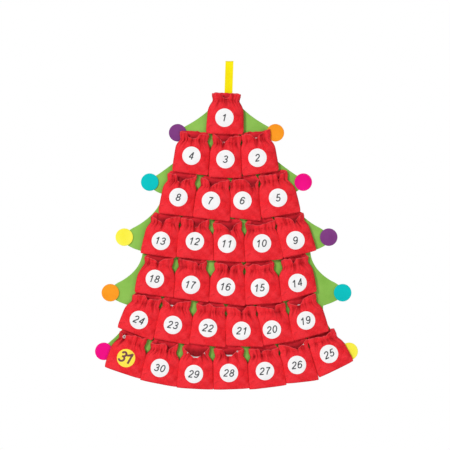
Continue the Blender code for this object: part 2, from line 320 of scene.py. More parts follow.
bpy.ops.mesh.primitive_plane_add(size=FLOOR_SIZE, location=(camera.location.x, 0, -FLOOR_DEPTH))
floor = bpy.context.object
floor.name = "pale_floor"
floor_paint = bpy.data.materials.new("pale_floor")
floor_paint.use_nodes = True
paint = floor_paint.node_tree.nodes["Principled BSDF"]
paint.inputs["Base Color"].default_value = (FLOOR_GREY, FLOOR_GREY, FLOOR_GREY, 1)
paint.inputs["Roughness"].default_value = 0.9
floor.data.materials.append(floor_paint)
print("the floor lies", FLOOR_DEPTH, "m below the hook")

# %% [markdown]
# ## Finishes
# Everything here is cloth of one kind or another, so two effects are shared: a plain weave of crossing
# threads, and felt, which is a mat of tangled fibres. Each is a node group that gives a height and a
# shade, and each material sets it to its own size.

# %% Weave: threads that pass over and under each other
weave, start, end = new_group(
    "plain_weave",
    [("Vector", "NodeSocketVector", None), ("Threads", "NodeSocketFloat", 1000.0)],
    ("Height", "Shade"),
)
scaled = weave.nodes.new("ShaderNodeVectorMath")
scaled.operation = "SCALE"
weave.links.new(start.outputs["Vector"], scaled.inputs[0])
weave.links.new(start.outputs["Threads"], scaled.inputs["Scale"])
split = weave.nodes.new("ShaderNodeSeparateXYZ")
weave.links.new(scaled.outputs[0], split.inputs[0])
slub = noise(weave, scaled.outputs[0], 0.35, 2.0)
across = calc(weave, "ADD", split.outputs[0], times(weave, slub, 0.5))
along = calc(weave, "ADD", split.outputs[1], times(weave, slub, 0.5))
warp = calc(weave, "ABSOLUTE", calc(weave, "SINE", times(weave, across, math.pi)))
weft = calc(weave, "ABSOLUTE", calc(weave, "SINE", times(weave, along, math.pi)))
cell = calc(weave, "ADD", calc(weave, "FLOOR", across), calc(weave, "FLOOR", along))
over = calc(weave, "PINGPONG", cell, 1.0)
top_thread = blend_value(weave, over, warp, weft)
height = times(weave, top_thread, blend_value(weave, slub, 0.7, 1.3))
weave.links.new(height, end.inputs["Height"])
weave.links.new(times(weave, height, blend_value(weave, slub, 0.8, 1.2)), end.inputs["Shade"])
print("plain_weave has", len(weave.nodes), "nodes")

# %% Felt: tangled fibres with slow mottling
felt_mat, start, end = new_group(
    "felt_fibres",
    [("Vector", "NodeSocketVector", None), ("Fibres", "NodeSocketFloat", 900.0)],
    ("Height", "Shade"),
)
curl = noise(felt_mat, start.outputs["Vector"], start.outputs["Fibres"], 6.0, 0.7, 2.2)
clump = noise(felt_mat, start.outputs["Vector"], times(felt_mat, start.outputs["Fibres"], 0.13), 3.0, 0.6)
mottle = noise(felt_mat, start.outputs["Vector"], times(felt_mat, start.outputs["Fibres"], 0.02), 3.0)
height = calc(felt_mat, "ADD", times(felt_mat, curl, 0.7), times(felt_mat, clump, 0.5))
shade = calc(felt_mat, "ADD", times(felt_mat, curl, 0.45), times(felt_mat, mottle, 0.55))
felt_mat.links.new(height, end.inputs["Height"])
felt_mat.links.new(shade, end.inputs["Shade"])
print("felt_fibres has", len(felt_mat.nodes), "nodes")

# %% [markdown]
# Felt and brushed cotton both scatter light from loose fibres at their surface. A little sheen gives
# that, and there is hardly any gloss.

# %% Helpers for materials


def new_material(name, roughness, sheen=0.0, gloss=0.15):
    made = bpy.data.materials.new(name)
    made.use_nodes = True
    shader = made.node_tree.nodes["Principled BSDF"]
    shader.inputs["Roughness"].default_value = roughness
    shader.inputs["Sheen Weight"].default_value = sheen
    shader.inputs["Sheen Roughness"].default_value = 0.6
    shader.inputs["Specular IOR Level"].default_value = gloss
    return made, made.node_tree, shader


def place_group(tree, group, vector, key, value):
    node = tree.nodes.new("ShaderNodeGroup")
    node.node_tree = group
    tree.links.new(vector, node.inputs["Vector"])
    node.inputs[key].default_value = value
    return node


def raise_by(tree, shader, height, distance, strength=1.0):
    bump = tree.nodes.new("ShaderNodeBump")
    bump.inputs["Distance"].default_value = distance
    bump.inputs["Strength"].default_value = strength
    tree.links.new(height, bump.inputs["Height"])
    tree.links.new(bump.outputs[0], shader.inputs["Normal"])


def spread(tree, value, low, high):
    """Stretches a shade to the range that colours need."""
    node = tree.nodes.new("ShaderNodeMapRange")
    tree.links.new(value, node.inputs["Value"])
    node.inputs["From Min"].default_value = low
    node.inputs["From Max"].default_value = high
    return node.outputs[0]


print("material helpers are ready")

# %% [markdown]
# Felt takes its height from the fibres. Its shade comes from the fibres too, and from slow patches where
# the dye has taken more or less.

# %% Felt finishes
FIBRES_PER_M = 900.0
FELT_SHADES = (0.36, 0.64)
FELT_RELIEF = 0.0006


def felt_material(name, dark, light, sheen=0.08):
    made, tree, shader = new_material(name, 0.95, sheen)
    where = tree.nodes.new("ShaderNodeTexCoord").outputs["Object"]
    mat = place_group(tree, felt_mat, where, "Fibres", FIBRES_PER_M)
    colour = blend_colour(tree, spread(tree, mat.outputs["Shade"], *FELT_SHADES), dark, light)
    tree.links.new(colour, shader.inputs["Base Color"])
    raise_by(tree, shader, mat.outputs["Height"], FELT_RELIEF, 0.7)
    return made


green_felt = felt_material("green_felt", (0.206, 0.454, 0.059), (0.306, 0.586, 0.106))
BALL_SHADES = {  # dark, light and sheen
    "purple": ((0.185, 0.034, 0.195), (0.250, 0.062, 0.255), 0.05),
    "orange": ((0.900, 0.275, 0.006), (1.000, 0.370, 0.020), 0.05),
    "cyan": ((0.001, 0.490, 0.490), (0.002, 0.600, 0.600), 0.0),
    "magenta": ((0.820, 0.001, 0.205), (0.950, 0.004, 0.270), 0.02),
    "yellow": ((0.930, 0.830, 0.035), (1.000, 0.950, 0.110), 0.05),
}
ball_felts = {
    colour: felt_material(f"{colour}_felt", dark, light, sheen=sheen)
    for colour, (dark, light, sheen) in BALL_SHADES.items()
}
print("green felt, and", ", ".join(ball_felts), "for the balls")

# %% [markdown]
# Cloth is woven. On the sacks it also crumples and gathers into small folds at the neck. Shade is painted
# into its colour in its creases and hollows, along its seams and neck, and down inside, and a painted
# highlight pales its rim. Where all this happens is kept in values that each sack carries.

# %% Cloth finishes
CLOTH_SHADES = (0.62, 1.0)
MOTTLES_PER_M = 38.0  # slow changes of the cloth's shade
CRUMPLES_PER_M = 75.0
HOLLOWS = (0.50, 0.30)  # where the crumpled cloth lies low, and where it lies lowest
HOLLOW_SHADE = 0.2
# Painted shade: creases, hollows, seams and the neck are darkened towards this colour.
PAINTED_SHADE_COLOUR = (0.250, 0.003, 0.007)
CREASE_SHADE = 0.9
CREASE_POWER = 1.5  # above one, so that shallow creases stay light
PAINTED_INSIDE_SHADE = (0.25, 1.1)  # how far down inside the painted shade starts, and where it would be full
RIM_LINE = 0.075  # the painted rim highlight's width, as a share of the way down inside
PAINTED_RIM_HIGHLIGHT = 0.55
GATHERS_PER_M = 170.0
GATHER_STRETCH = 0.32  # gathers are longer than they are wide
GATHER_MM = 2.2
RELIEF_UNIT = 0.001  # the heights below are in millimetres


def attribute_value(tree, name):
    node = tree.nodes.new("ShaderNodeAttribute")
    node.attribute_name = name
    return node.outputs["Fac"]


def cloth_material(
    name, dark, light, threads, sheen=0.12, depth=0.00025, crumpled=0.0, deep=None, edge=None, gloss=0.15
):
    """Woven cloth, whose threads follow the piece's own UV map, laid out in metres.

    Depth is how far its threads stand out, in metres, and crumpled how far its slow unevenness does,
    in millimetres. Deep is painted shade: the colour that it takes further down inside a sack, where
    hardly any light comes back out. Edge is a paler colour painted along the rim as a highlight. Cloth
    with an edge also gets painted shade in its creases and its hollows, and is gathered at the neck.
    """
    made, tree, shader = new_material(name, 0.9, sheen, gloss)
    where = tree.nodes.new("ShaderNodeUVMap").outputs[0]
    threads_node = place_group(tree, weave, where, "Threads", threads)
    slow = noise(tree, where, MOTTLES_PER_M, 4.0, 0.6)
    shade = calc(tree, "ADD", times(tree, threads_node.outputs["Shade"], 0.5), slow)
    colour = blend_colour(tree, spread(tree, shade, *CLOTH_SHADES), dark, light)
    crumple = noise(tree, where, CRUMPLES_PER_M, 4.0, 0.5, 0.8)
    relief = times(tree, threads_node.outputs["Height"], depth / RELIEF_UNIT)
    # Painted shade: further down inside a sack the colour goes over to deep.
    if deep:
        inside = spread(tree, attribute_value(tree, "down_inside"), *PAINTED_INSIDE_SHADE)
        colour = blend_colour(tree, inside, colour, deep)
    if edge:
        # Painted shade in the low places of the crumpled cloth, then in its creases, hollows, seams and
        # neck.
        painted_hollow_shade = times(tree, spread(tree, crumple, *HOLLOWS), HOLLOW_SHADE)
        colour = blend_colour(tree, painted_hollow_shade, colour, PAINTED_SHADE_COLOUR)
        painted_shade_amount = calc(tree, "POWER", attribute_value(tree, "painted_shade_amount"), CREASE_POWER)
        colour = blend_colour(tree, times(tree, painted_shade_amount, CREASE_SHADE), colour, PAINTED_SHADE_COLOUR)
        # Painted highlight: the colour pales towards edge along the rim.
        near_rim = spread(tree, attribute_value(tree, "down_inside"), RIM_LINE, 0.0)
        colour = blend_colour(tree, times(tree, near_rim, PAINTED_RIM_HIGHLIGHT), colour, edge)
        drawn_out = tree.nodes.new("ShaderNodeMapping")
        drawn_out.inputs["Scale"].default_value = (1.0, GATHER_STRETCH, 1.0)
        tree.links.new(where, drawn_out.inputs["Vector"])
        gathers = noise(tree, drawn_out.outputs[0], GATHERS_PER_M, 2.0, 0.5, 0.4)
        gathered = times(tree, attribute_value(tree, "gathered"), GATHER_MM)
        relief = calc(tree, "MULTIPLY_ADD", gathers, gathered, relief)
    tree.links.new(colour, shader.inputs["Base Color"])
    height = calc(tree, "MULTIPLY_ADD", crumple, crumpled, relief)
    raise_by(tree, shader, height, RELIEF_UNIT, 0.8)
    return made


# The red cotton's edge colour is a painted highlight along the rim.
red_cotton = cloth_material(
    "red_cotton", (0.900, 0.013, 0.021), (1.000, 0.046, 0.062),
    threads=1100.0, sheen=0.02, crumpled=7.0, edge=(0.900, 0.190, 0.210), gloss=0.04,
)
# The wrong side's own colour is a little duller; its deep colour is painted shade further down inside.
cotton_back = cloth_material(
    "cotton_wrong_side", (0.780, 0.020, 0.034), (0.920, 0.028, 0.046),
    threads=1100.0, sheen=0.02, crumpled=2.0, deep=(0.250, 0.005, 0.010),
)
yellow_ribbon = cloth_material(
    "yellow_ribbon", (0.930, 0.740, 0.001), (1.000, 0.880, 0.004), threads=1500.0, sheen=0.0, depth=0.0001
)
white_elastic = cloth_material(
    "white_elastic", (0.600, 0.580, 0.560), (0.880, 0.870, 0.850), threads=900.0, sheen=0.1, depth=0.0003
)
print(len(bpy.data.materials), "materials so far")

# %% [markdown]
# Print and thread need less. Both are one colour that changes slightly from place to place, with a fine
# grain.

# %% Print and thread
PATCHES_PER_M = 260.0
GRAINS_PER_M = 1400.0


def print_material(name, dark, light, roughness=0.6):
    """Ink or thread: smooth, a little uneven, with a fine grain."""
    made, tree, shader = new_material(name, roughness)
    where = tree.nodes.new("ShaderNodeTexCoord").outputs["Object"]
    patch = spread(tree, noise(tree, where, PATCHES_PER_M, 4.0, 0.6), 0.3, 0.7)
    tree.links.new(blend_colour(tree, patch, dark, light), shader.inputs["Base Color"])
    raise_by(tree, shader, noise(tree, where, GRAINS_PER_M, 2.0), 0.0002, 0.4)
    return made


disc_white = print_material("disc_white", (0.870, 0.865, 0.870), (0.930, 0.925, 0.930))
disc_yellow = print_material("disc_yellow", (0.960, 0.720, 0.050), (1.000, 0.840, 0.100))
ink_grey = print_material("ink_grey", (0.040, 0.042, 0.048), (0.075, 0.078, 0.086))
ink_plum = print_material("ink_plum", (0.150, 0.050, 0.060), (0.210, 0.075, 0.085))
red_thread = print_material("red_thread", (0.500, 0.012, 0.020), (0.720, 0.030, 0.040), 0.5)
yellow_thread = print_material("yellow_thread", (0.750, 0.500, 0.004), (0.900, 0.680, 0.010), 0.5)
print(len(bpy.data.materials), "materials in all")

# %% [markdown]
# ## The felt tree
# The tree is one sheet of felt, cut with scissors. Its outline is taken from the plain model, turned into
# a curve so that its bends run smoothly, and filled again. The cut edge of thick felt is soft, so a
# narrow bevel rounds it.

# %% Felt tree
FELT_EDGE = 0.0007
CORNER_TURN = math.radians(24)  # where the outline turns by more, it keeps a corner
STEPS_PER_BEND = 4

felt_low, felt_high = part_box("felt_tree")
felt_thickness = felt_high.y - felt_low.y
felt = copy_piece(nodes["felt_tree"], "felt_sheet")
pick(felt)
with edit_mode("SELECT"):
    bpy.ops.mesh.remove_doubles(threshold=0.00001)
select_where(felt, "VERT", lambda vertex: vertex.co.y > felt_low.y + felt_thickness / 2)
with edit_mode():
    bpy.ops.mesh.delete(type="VERT")
    bpy.ops.mesh.select_all(action="SELECT")
    bpy.ops.mesh.dissolve_limited(angle_limit=0.001)
    bpy.ops.mesh.delete(type="ONLY_FACE")
bpy.ops.object.convert(target="CURVE")
with edit_mode():
    bpy.ops.curve.select_all(action="SELECT")
    bpy.ops.curve.spline_type_set(type="BEZIER")
    bpy.ops.curve.handle_type_set(type="AUTOMATIC")
    bpy.ops.curve.select_all(action="DESELECT")
knots = felt.data.splines[0].bezier_points
for index, knot in enumerate(knots):
    before = knot.co - knots[index - 1].co
    after = knots[(index + 1) % len(knots)].co - knot.co
    if before.angle(after) > CORNER_TURN:
        knot.handle_left_type = knot.handle_right_type = "VECTOR"
felt.data.splines[0].use_cyclic_u = True
felt.data.splines[0].resolution_u = STEPS_PER_BEND
felt.data.dimensions = "3D"
pick(felt)
bpy.ops.object.convert(target="MESH")
with edit_mode("SELECT"):
    bpy.ops.mesh.remove_doubles(threshold=0.0002)
    bpy.ops.mesh.edge_face_add()
    bpy.ops.mesh.extrude_region_move(TRANSFORM_OT_translate={"value": (0, felt_thickness, 0)})
    bpy.ops.mesh.select_all(action="SELECT")
    bpy.ops.mesh.normals_make_consistent(inside=False)
bevel_edges(felt, "cut_edge", FELT_EDGE)
bpy.ops.object.shade_smooth_by_angle(angle=math.radians(35))
felt.data.materials.clear()
felt.data.materials.append(green_felt)
finish_piece(felt, "felt_sheet", "tree", "green_felt", "felt_tree")
size = felt_high - felt_low

# %% [markdown]
# ## Felt balls
# Each ball is a disc punched from felt. One disc is made from a flat cylinder: its rim is bevelled and
# its front swells a little towards the middle. Ten copies go where the plain model has them.

# %% Felt balls
BALL_EDGE = 0.0008
BALL_RINGS = (0.0016, 0.003, 0.004, 0.005, 0.004)
BALL_SWELL = 0.00035
BALL_TURN = math.radians(37)  # so that no two rims are alike
BALL_COLOURS = {
    "left": ("purple", "cyan", "yellow", "orange", "magenta"),
    "right": ("orange", "magenta", "purple", "cyan", "yellow"),
}

ball_low, ball_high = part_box("felt_ball_left_1")
ball_radius = (ball_high.x - ball_low.x) / 2
ball_depth = ball_high.y - ball_low.y
bpy.ops.object.select_all(action="DESELECT")
bpy.ops.mesh.primitive_cylinder_add(
    vertices=72, radius=ball_radius, depth=ball_depth, rotation=(math.radians(90), 0, 0)
)
ball = bpy.context.object
bpy.ops.object.transform_apply(location=False, rotation=True, scale=False)
bevel_edges(ball, "punched_edge", BALL_EDGE)
for face in ball.data.polygons:
    face.select = len(face.vertices) > 8
with edit_mode():
    for ring_width in BALL_RINGS:
        bpy.ops.mesh.inset(thickness=ring_width, depth=0)
    bpy.ops.mesh.poke()
spots = points_of(ball)
front = spots[:, 1] < 0
reach = np.hypot(spots[:, 0], spots[:, 2]) / ball_radius
spots[:, 1] -= np.where(front, BALL_SWELL * np.clip(1 - reach**2, 0, 1), 0)
move_points(ball, spots)
bpy.ops.object.shade_smooth_by_angle(angle=math.radians(50))
for side, colours in BALL_COLOURS.items():
    for number, colour in enumerate(colours, 1):
        node = f"felt_ball_{side}_{number}"
        low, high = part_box(node)
        disc = copy_piece(ball, f"disc_{side}_{number}")
        turn = Matrix.Rotation(BALL_TURN * number, 4, "Y")
        settle(disc, Matrix.Translation((low + high) / 2) @ turn)
        disc.data.materials.append(ball_felts[colour])
        finish_piece(disc, f"disc_{side}_{number}", "tree", f"{colour}_felt", node)
bpy.data.objects.remove(ball)
print("ten felt balls", round(ball_radius * 2000), "mm across")

# %% [markdown]
# ## Pouches
# Each pouch is a sack sewn from one cloth, gathered by an elastic into a neck, with a ruffle above it.
# All of them start as one tube, which is welded shut along the bottom. A tube keeps its rows and columns,
# so the code can then shape each sack as a hand would: swell the belly, draw in the neck, and lay the
# pleats.

# %% Tube that all sacks start from
AROUND = 176
BODY_ROWS, RUFFLE_ROWS = 24, 20
ON_SEAM = 1e-6  # points this close to the middle plane lie on a side seam


def is_upright(mesh, edge):
    first, second = (mesh.vertices[index].co for index in edge.vertices)
    return abs(first.z - second.z) > 1


def open_tube(rows):
    """A tube without ends, one unit in radius and two high, whose upright edges are cut into rows."""
    bpy.ops.object.select_all(action="DESELECT")
    bpy.ops.mesh.primitive_cylinder_add(vertices=AROUND, radius=1.0, depth=2.0, end_fill_type="NOTHING")
    made = bpy.context.object
    select_where(made, "EDGE", lambda edge: is_upright(made.data, edge))
    with edit_mode():
        bpy.ops.mesh.subdivide(number_cuts=rows - 1)
        bpy.ops.mesh.select_mode(type="VERT")
    return made


def face_outwards(obj):
    """Turns an open tube's faces outwards, judged by the face that lies furthest to the front."""
    pick(obj)
    with edit_mode("SELECT"):
        bpy.ops.mesh.normals_make_consistent(inside=False)
    if min(obj.data.polygons, key=lambda face: face.center.y).normal.y > 0:
        with edit_mode():
            bpy.ops.mesh.flip_normals()


def share_across(spots):
    """How far across a tube each point lies, from -1 at the left to 1 at the right."""
    return 1 - 2 * np.arccos(np.clip(spots[:, 0], -1, 1)) / np.pi


tube = open_tube(BODY_ROWS + RUFFLE_ROWS)
select_where(tube, "VERT", lambda vertex: vertex.co.z < -0.999)
with edit_mode():
    bpy.ops.mesh.extrude_region_move(TRANSFORM_OT_translate={"value": (0, 0, -0.02)})
    bpy.ops.transform.resize(value=(1, 0, 1))
    bpy.ops.mesh.remove_doubles(threshold=0.0001)
face_outwards(tube)

places = points_of(tube)
tube_u = share_across(places)
tube_front = places[:, 1] < -ON_SEAM
tube_seam = np.abs(places[:, 1]) <= ON_SEAM
tube_row = np.rint((places[:, 2] + 1) / 2 * (BODY_ROWS + RUFFLE_ROWS)).astype(int)
tube_row[places[:, 2] < -1.01] = -1
print("tube with", len(places), "points, rows", tube_row.min(), "to", tube_row.max())

# %% [markdown]
# The plain pouches say where each sack hangs, how it is turned, and how wide and high it is. Those sizes
# are measured here in millimetres, in a frame that stands upright on the sack: x to its right, y back to
# the felt, z up.

# %% Measure the plain pouches
MM = 0.001
LEAN = math.radians(-1.5)
SEAM_RISE = 7.0  # the plain pouch is widest this far above its foot
BACK_AT = 14.05  # where the top of its back is measured, to each side of its middle
FRONT_AT = 26.7  # and the top of its front
SEAT, TOP_SEAT = 0.3, 1.8  # how far it stands off the felt: the top one lies over the ribbon's end
DAYS = range(1, 32)
joints = {joint["name"]: joint for joint in frame["joints"]}


def measure_pouch(day):
    """The sack's place, and its measures in millimetres, read from the plain pouch."""
    joint = joints[f"pouch_{day:02d}_lift"]
    right = -Vector(joint["axis"])
    turn = math.atan2(-right.z, right.x)
    place = Matrix.Translation(joint["pos_m"]) @ Matrix.Rotation(turn, 4, "Y")
    place = place @ Matrix.Rotation(LEAN, 4, "X")
    back = np.array(place.inverted())
    local = (points_of(nodes[f"pouch_{day:02d}"]) @ back[:3, :3].T + back[:3, 3]) / MM
    x, z = local[:, 0], local[:, 2]
    ends = local[[x.argmin(), x.argmax()]]
    foot = ends[:, 2].mean() - SEAM_RISE
    back_top = [z[np.abs(x - side * BACK_AT) < 0.5].max() for side in (-1, 1)]
    front_top = [z[np.abs(x - side * FRONT_AT) < 0.8].max() for side in (-1, 1)]
    return {
        "day": day,
        "place": place,
        "turn": turn,
        "foot": foot,
        "half": float(x.max()),
        "back": sum(back_top) / 2 - foot,
        "front": sum(front_top) / 2 - foot,
        "top_slope": (back_top[1] - back_top[0]) / (2 * BACK_AT),
        "foot_slope": float((ends[1, 2] - ends[0, 2]) / (ends[1, 0] - ends[0, 0])),
        "seat": TOP_SEAT if day == 1 else SEAT,
    }


fits = {day: measure_pouch(day) for day in DAYS}
for day in (1, 15, 25):
    print(day, {key: round(value, 2) for key, value in fits[day].items() if isinstance(value, float)})

# %% [markdown]
# A sack's outline comes from how it is sewn. Below, the cloth keeps the full width. At the neck the
# elastic draws it in, and the shoulders run from one to the other. Above the neck the ruffle opens again.

# %% Shape of a sack
NECK_BELOW_RIM = 17.0
NECK_HALF = 32.8
RIM_HALF = 35.4
SHOULDER_STEEPNESS = 0.46
BODY_TOP_BELOW_NECK = 15.0
CLOTH_MM = 0.9
SEAM_DEPTH_SHARE = 0.2  # the side seams lie close to the felt


def neck_height(fit):
    return fit["front"] - NECK_BELOW_RIM


def ease(low, high, value):
    """Goes from 0 to 1 between two values, softly at both ends."""
    share = np.clip((value - low) / (high - low), 0, 1)
    return share * share * (3 - 2 * share)


def smooth_min(first, second, width=1.3):
    return -width * np.log(np.exp(-first / width) + np.exp(-second / width))


def smooth_curve(value, stops, heights):
    """A curve through the stops, without corners."""
    stops, heights = np.array(stops, float), np.array(heights, float)
    slopes = np.gradient(heights, stops)
    spot = np.clip(np.searchsorted(stops, value) - 1, 0, len(stops) - 2)
    step = stops[spot + 1] - stops[spot]
    t = np.clip((value - stops[spot]) / step, 0, 1)
    return (
        (2 * t**3 - 3 * t**2 + 1) * heights[spot]
        + (t**3 - 2 * t**2 + t) * step * slopes[spot]
        + (3 * t**2 - 2 * t**3) * heights[spot + 1]
        + (t**3 - t**2) * step * slopes[spot + 1]
    )


def half_width(fit, h):
    """Half the sack's width at a height above its foot."""
    neck = neck_height(fit)
    stops = (-1, 3, 8, 22, 42, 66, 120)
    body = fit["half"] * smooth_curve(h, stops, (0.955, 0.988, 1.0, 0.997, 0.975, 0.945, 0.92))
    below = np.maximum(neck - h, 0)
    shoulder = NECK_HALF + SHOULDER_STEEPNESS * below * ease(-6, 9, below)
    flare = (RIM_HALF - NECK_HALF) * ease(0, 13, h - neck)
    return smooth_min(body, shoulder) + flare + CLOTH_MM


def front_depth(fit, h):
    near_neck = [neck_height(fit) + step for step in (-18, -10, -5, -1.5, 1.5, 5, 11, 22)]
    depths = (8.9, 11.6, 14.0, 17.2, 18.8, 18.6, 17.6, 16.0, 13.4, 13.2, 15.0, 15.9, 16.6)
    return smooth_curve(h, (-1, 2.5, 8, 20, 42, *near_neck), depths)


def back_depth(fit, h):
    neck = neck_height(fit)
    stops = (-1, 4, 10, 22, neck - 10, neck, neck + 12, neck + 30)
    return smooth_curve(h, stops, (7.3, 5.6, 4.3, 3.8, 3.8, 4.3, 4.0, 4.4))


def cloth_point(fit, u, front, h, inset=0.0):
    """A point of the cloth at a share u across, on the front or back panel, h above the foot."""
    half = half_width(fit, h) - inset
    near, far = back_depth(fit, h) + inset, front_depth(fit, h) - inset
    side = near + SEAM_DEPTH_SHARE * (far - near)
    across = np.clip(np.abs(u), 0, 1)
    front_crown = (far - side) * (1 - across**3.0) ** 0.62
    back_crown = (near - side) * (1 - across**4.0) ** 0.6
    return u * half, side + np.where(front, front_crown, back_crown)


def to_local(fit, x, depth, h):
    """From width, depth from the felt and height to the sack's own frame."""
    share = (h - SEAM_RISE) / (fit["back"] - SEAM_RISE)
    slope = fit["foot_slope"] + share * (fit["top_slope"] - fit["foot_slope"])
    return np.stack([x, -(depth - fit["seat"]), h + slope * x + fit["foot"]], axis=-1)


print("neck of day 15 at", round(neck_height(fits[15]), 1), "mm above its foot")

# %% [markdown]
# No two ruffles fall alike, and the photograph shows each one, so each has its own line of points: how
# far across (from -1 at the left seam to 1 at the right), and how many millimetres the front rim lies
# above or below its plain height there. The day discs don't sit alike on the sacks either.

# %% Rims and discs, day by day
RIMS = {
    1: ((-1, 1), (-0.3, 0.5), (-0.22, -8), (0.03, -10), (0.2, -8), (0.3, 0.5), (1, 1)),
    2: ((-1, 1.5), (-0.5, 1), (-0.38, -2), (-0.05, -11), (0.3, -1), (0.7, 6), (1, 9)),
    3: ((-1, 9), (-0.7, 3), (-0.45, -4), (-0.18, -16), (0.05, -9), (0.25, 0), (0.5, 1.5), (1, 3.5)),
    4: ((-1, 3), (-0.6, 3), (-0.5, 0), (-0.38, -10), (-0.1, -12), (0.2, -11), (0.33, -2), (0.45, 0),
         (1, 1.5)),
    5: ((-1, 2), (0.15, 0), (0.24, -2.4), (0.3, -11.5), (0.38, -11.5), (0.46, -2.4), (0.7, 0), (1, 5)),
    6: ((-1, -4), (-0.75, 0), (-0.4, 3.5), (0, 0), (0.2, -3.6), (0.55, -19), (0.8, -11), (1, -1)),
    7: ((-1, 3.5), (-0.6, 0), (-0.45, -3.6), (-0.29, -18), (-0.1, -13), (0.3, -3.6), (0.6, 0), (1, 2.4)),
    8: ((-1, 1), (-0.45, 1), (-0.32, -3), (-0.25, -15), (0, -18), (0.15, -13), (0.3, -9), (0.55, -7),
         (0.8, -3), (1, 4)),
    9: ((-1, 4), (-0.4, 0), (-0.05, -5), (0.12, -10), (0.27, -20), (0.4, -12), (0.6, -5), (1, 2.4)),
    10: ((-1, 3.2), (-0.6, -1.2), (-0.2, -6), (0, -5), (0.5, -1.2), (1, 3.6)),
    11: ((-1, 2.5), (-0.45, 0), (-0.3, -4), (0.1, -17), (0.28, -17), (0.42, -5), (0.6, 0), (1, 4.4)),
    12: ((-1, 1.5), (-0.25, 0), (-0.15, -5), (-0.05, -16), (0.2, -16), (0.32, -6), (0.5, -2.4),
         (0.95, 5), (1, 5)),
    13: ((-1, -1), (-0.6, -7), (-0.3, -13), (-0.08, -18), (0.08, -6), (0.3, -2.4), (0.6, 1), (1, 5)),
    14: ((-1, 2.5), (-0.6, 4), (-0.5, 1), (-0.3, 2), (-0.1, -10), (0, -8), (0.12, -1.5), (0.6, -2.5),
         (1, -3)),
    15: ((-1, 1), (-0.77, -6), (-0.5, 0), (-0.3, 1), (-0.1, -2), (0.05, -5.5), (0.3, -4), (0.6, -2),
         (1, 2.5)),
    16: ((-1, 1), (-0.5, 1), (-0.2, -1), (-0.08, -6), (0.05, -14), (0.15, -9), (0.28, -4), (0.65, 1),
         (0.85, -1), (1, -2)),
    17: ((-1, 3), (-0.3, 0), (0.2, -2), (0.33, -5), (0.42, -9.5), (0.55, -4), (0.75, -1), (1, 3.5)),
    18: ((-1, 0), (-0.6, -2), (-0.3, -5), (0, -10.5), (0.15, -6), (0.35, 0), (0.7, 2), (1, 6.5)),
    19: ((-1, 2.5), (-0.8, -3), (-0.6, -9), (-0.3, -13), (-0.15, -10), (0, -4), (0.15, 1), (0.5, 3),
         (1, 4)),
    20: ((-1, 2), (-0.4, -3), (0.1, -7), (0.22, -9.5), (0.32, -1), (0.45, 2), (1, 5.5)),
    21: ((-1, 2), (-0.4, 0), (0, -10), (0.2, -3), (0.4, 4.5), (0.9, 5), (1, 4)),
    22: ((-1, 1.5), (-0.5, -3), (-0.3, 1), (-0.1, 4.5), (0.1, 1), (0.2, -3), (0.6, -2), (1, -1)),
    23: ((-1, 0.5), (-0.8, -3), (-0.6, -8), (-0.37, -16), (-0.15, -10), (0, -4), (0.5, 1), (1, 5)),
    24: ((-1, 0), (-0.6, 2), (-0.15, 3.5), (0, -3), (0.1, -7), (0.3, -4), (0.6, -3.5), (1, -1)),
    25: ((-1, 0.5), (-0.4, 0), (0, -4), (0.3, -4), (0.5, 0), (0.75, 4), (1, 8)),
    26: ((-1, 4), (-0.6, 0), (-0.3, -6), (0, -14), (0.2, -17), (0.45, -12), (0.6, -8), (0.8, -2), (1, 3)),
    27: ((-1, 3.5), (-0.35, 2), (-0.25, -3), (-0.17, -8), (-0.05, -5), (0.1, -2.5), (0.5, -4), (1, -1.5)),
    28: ((-1, 2.5), (-0.45, 0), (-0.35, -5), (-0.28, -13), (-0.1, -17), (0.15, -17), (0.35, -10),
         (0.5, -4), (0.7, -3), (1, 1)),
    29: ((-1, 2), (-0.85, -2), (-0.65, -9), (-0.4, -18), (-0.15, -24), (0.1, -24), (0.35, -19),
         (0.6, -10), (0.85, -2), (1, 4)),
    30: ((-1, -1), (-0.6, -3), (-0.3, 1), (0, 3), (0.15, -3), (0.27, -11.5), (0.45, -6), (0.75, 2), (1, 8)),
    31: ((-1, -1), (-0.7, -4), (-0.6, -8), (-0.45, -4), (-0.2, -2), (0.15, 3), (0.4, 3), (0.65, 1),
         (0.85, 5), (1, 9)),
}
DISCS = {  # across and up in millimetres, and how far the number leans to the right, in degrees
    1: (-2.3, 39.2, 2), 2: (-4.4, 38.6, -9), 3: (-0.2, 44.7, 2), 4: (-1.1, 42.9, 6.5),
    5: (0.5, 43.5, -10.5), 6: (-6.0, 45.0, 3), 7: (-4.8, 44.5, 6), 8: (-0.1, 43.4, 6),
    9: (-1.9, 35.8, -13), 10: (-0.6, 42.7, -4.5), 11: (-4.6, 43.5, 3), 12: (-1.0, 43.2, 5.5),
    13: (0.6, 36.7, 8.6), 14: (-0.7, 34.2, -14), 15: (-5.6, 40.2, -5), 16: (-4.5, 41.6, 4),
    17: (-2.2, 37.2, 7.5), 18: (-2.4, 39.6, 7.5), 19: (-3.6, 40.7, -15.4), 20: (-10.0, 36.0, -9.4),
    21: (-4.8, 38.3, 1.6), 22: (-2.0, 43.2, 6.4), 23: (-2.6, 41.2, 9.8), 24: (-1.1, 36.1, 19),
    25: (-3.6, 42.3, -25), 26: (-3.4, 43.8, -8), 27: (-2.6, 41.2, -4), 28: (-4.2, 40.2, 1),
    29: (-3.5, 36.2, 4), 30: (-2.7, 38.7, 10), 31: (-1.5, 37.9, 18.5),
}

NOTCH_SHARE = 0.32


def soften(line):
    """Evens out a line of values, each with its two neighbours."""
    return np.convolve(np.pad(line, 1, mode="edge"), (0.25, 0.5, 0.25), mode="valid")


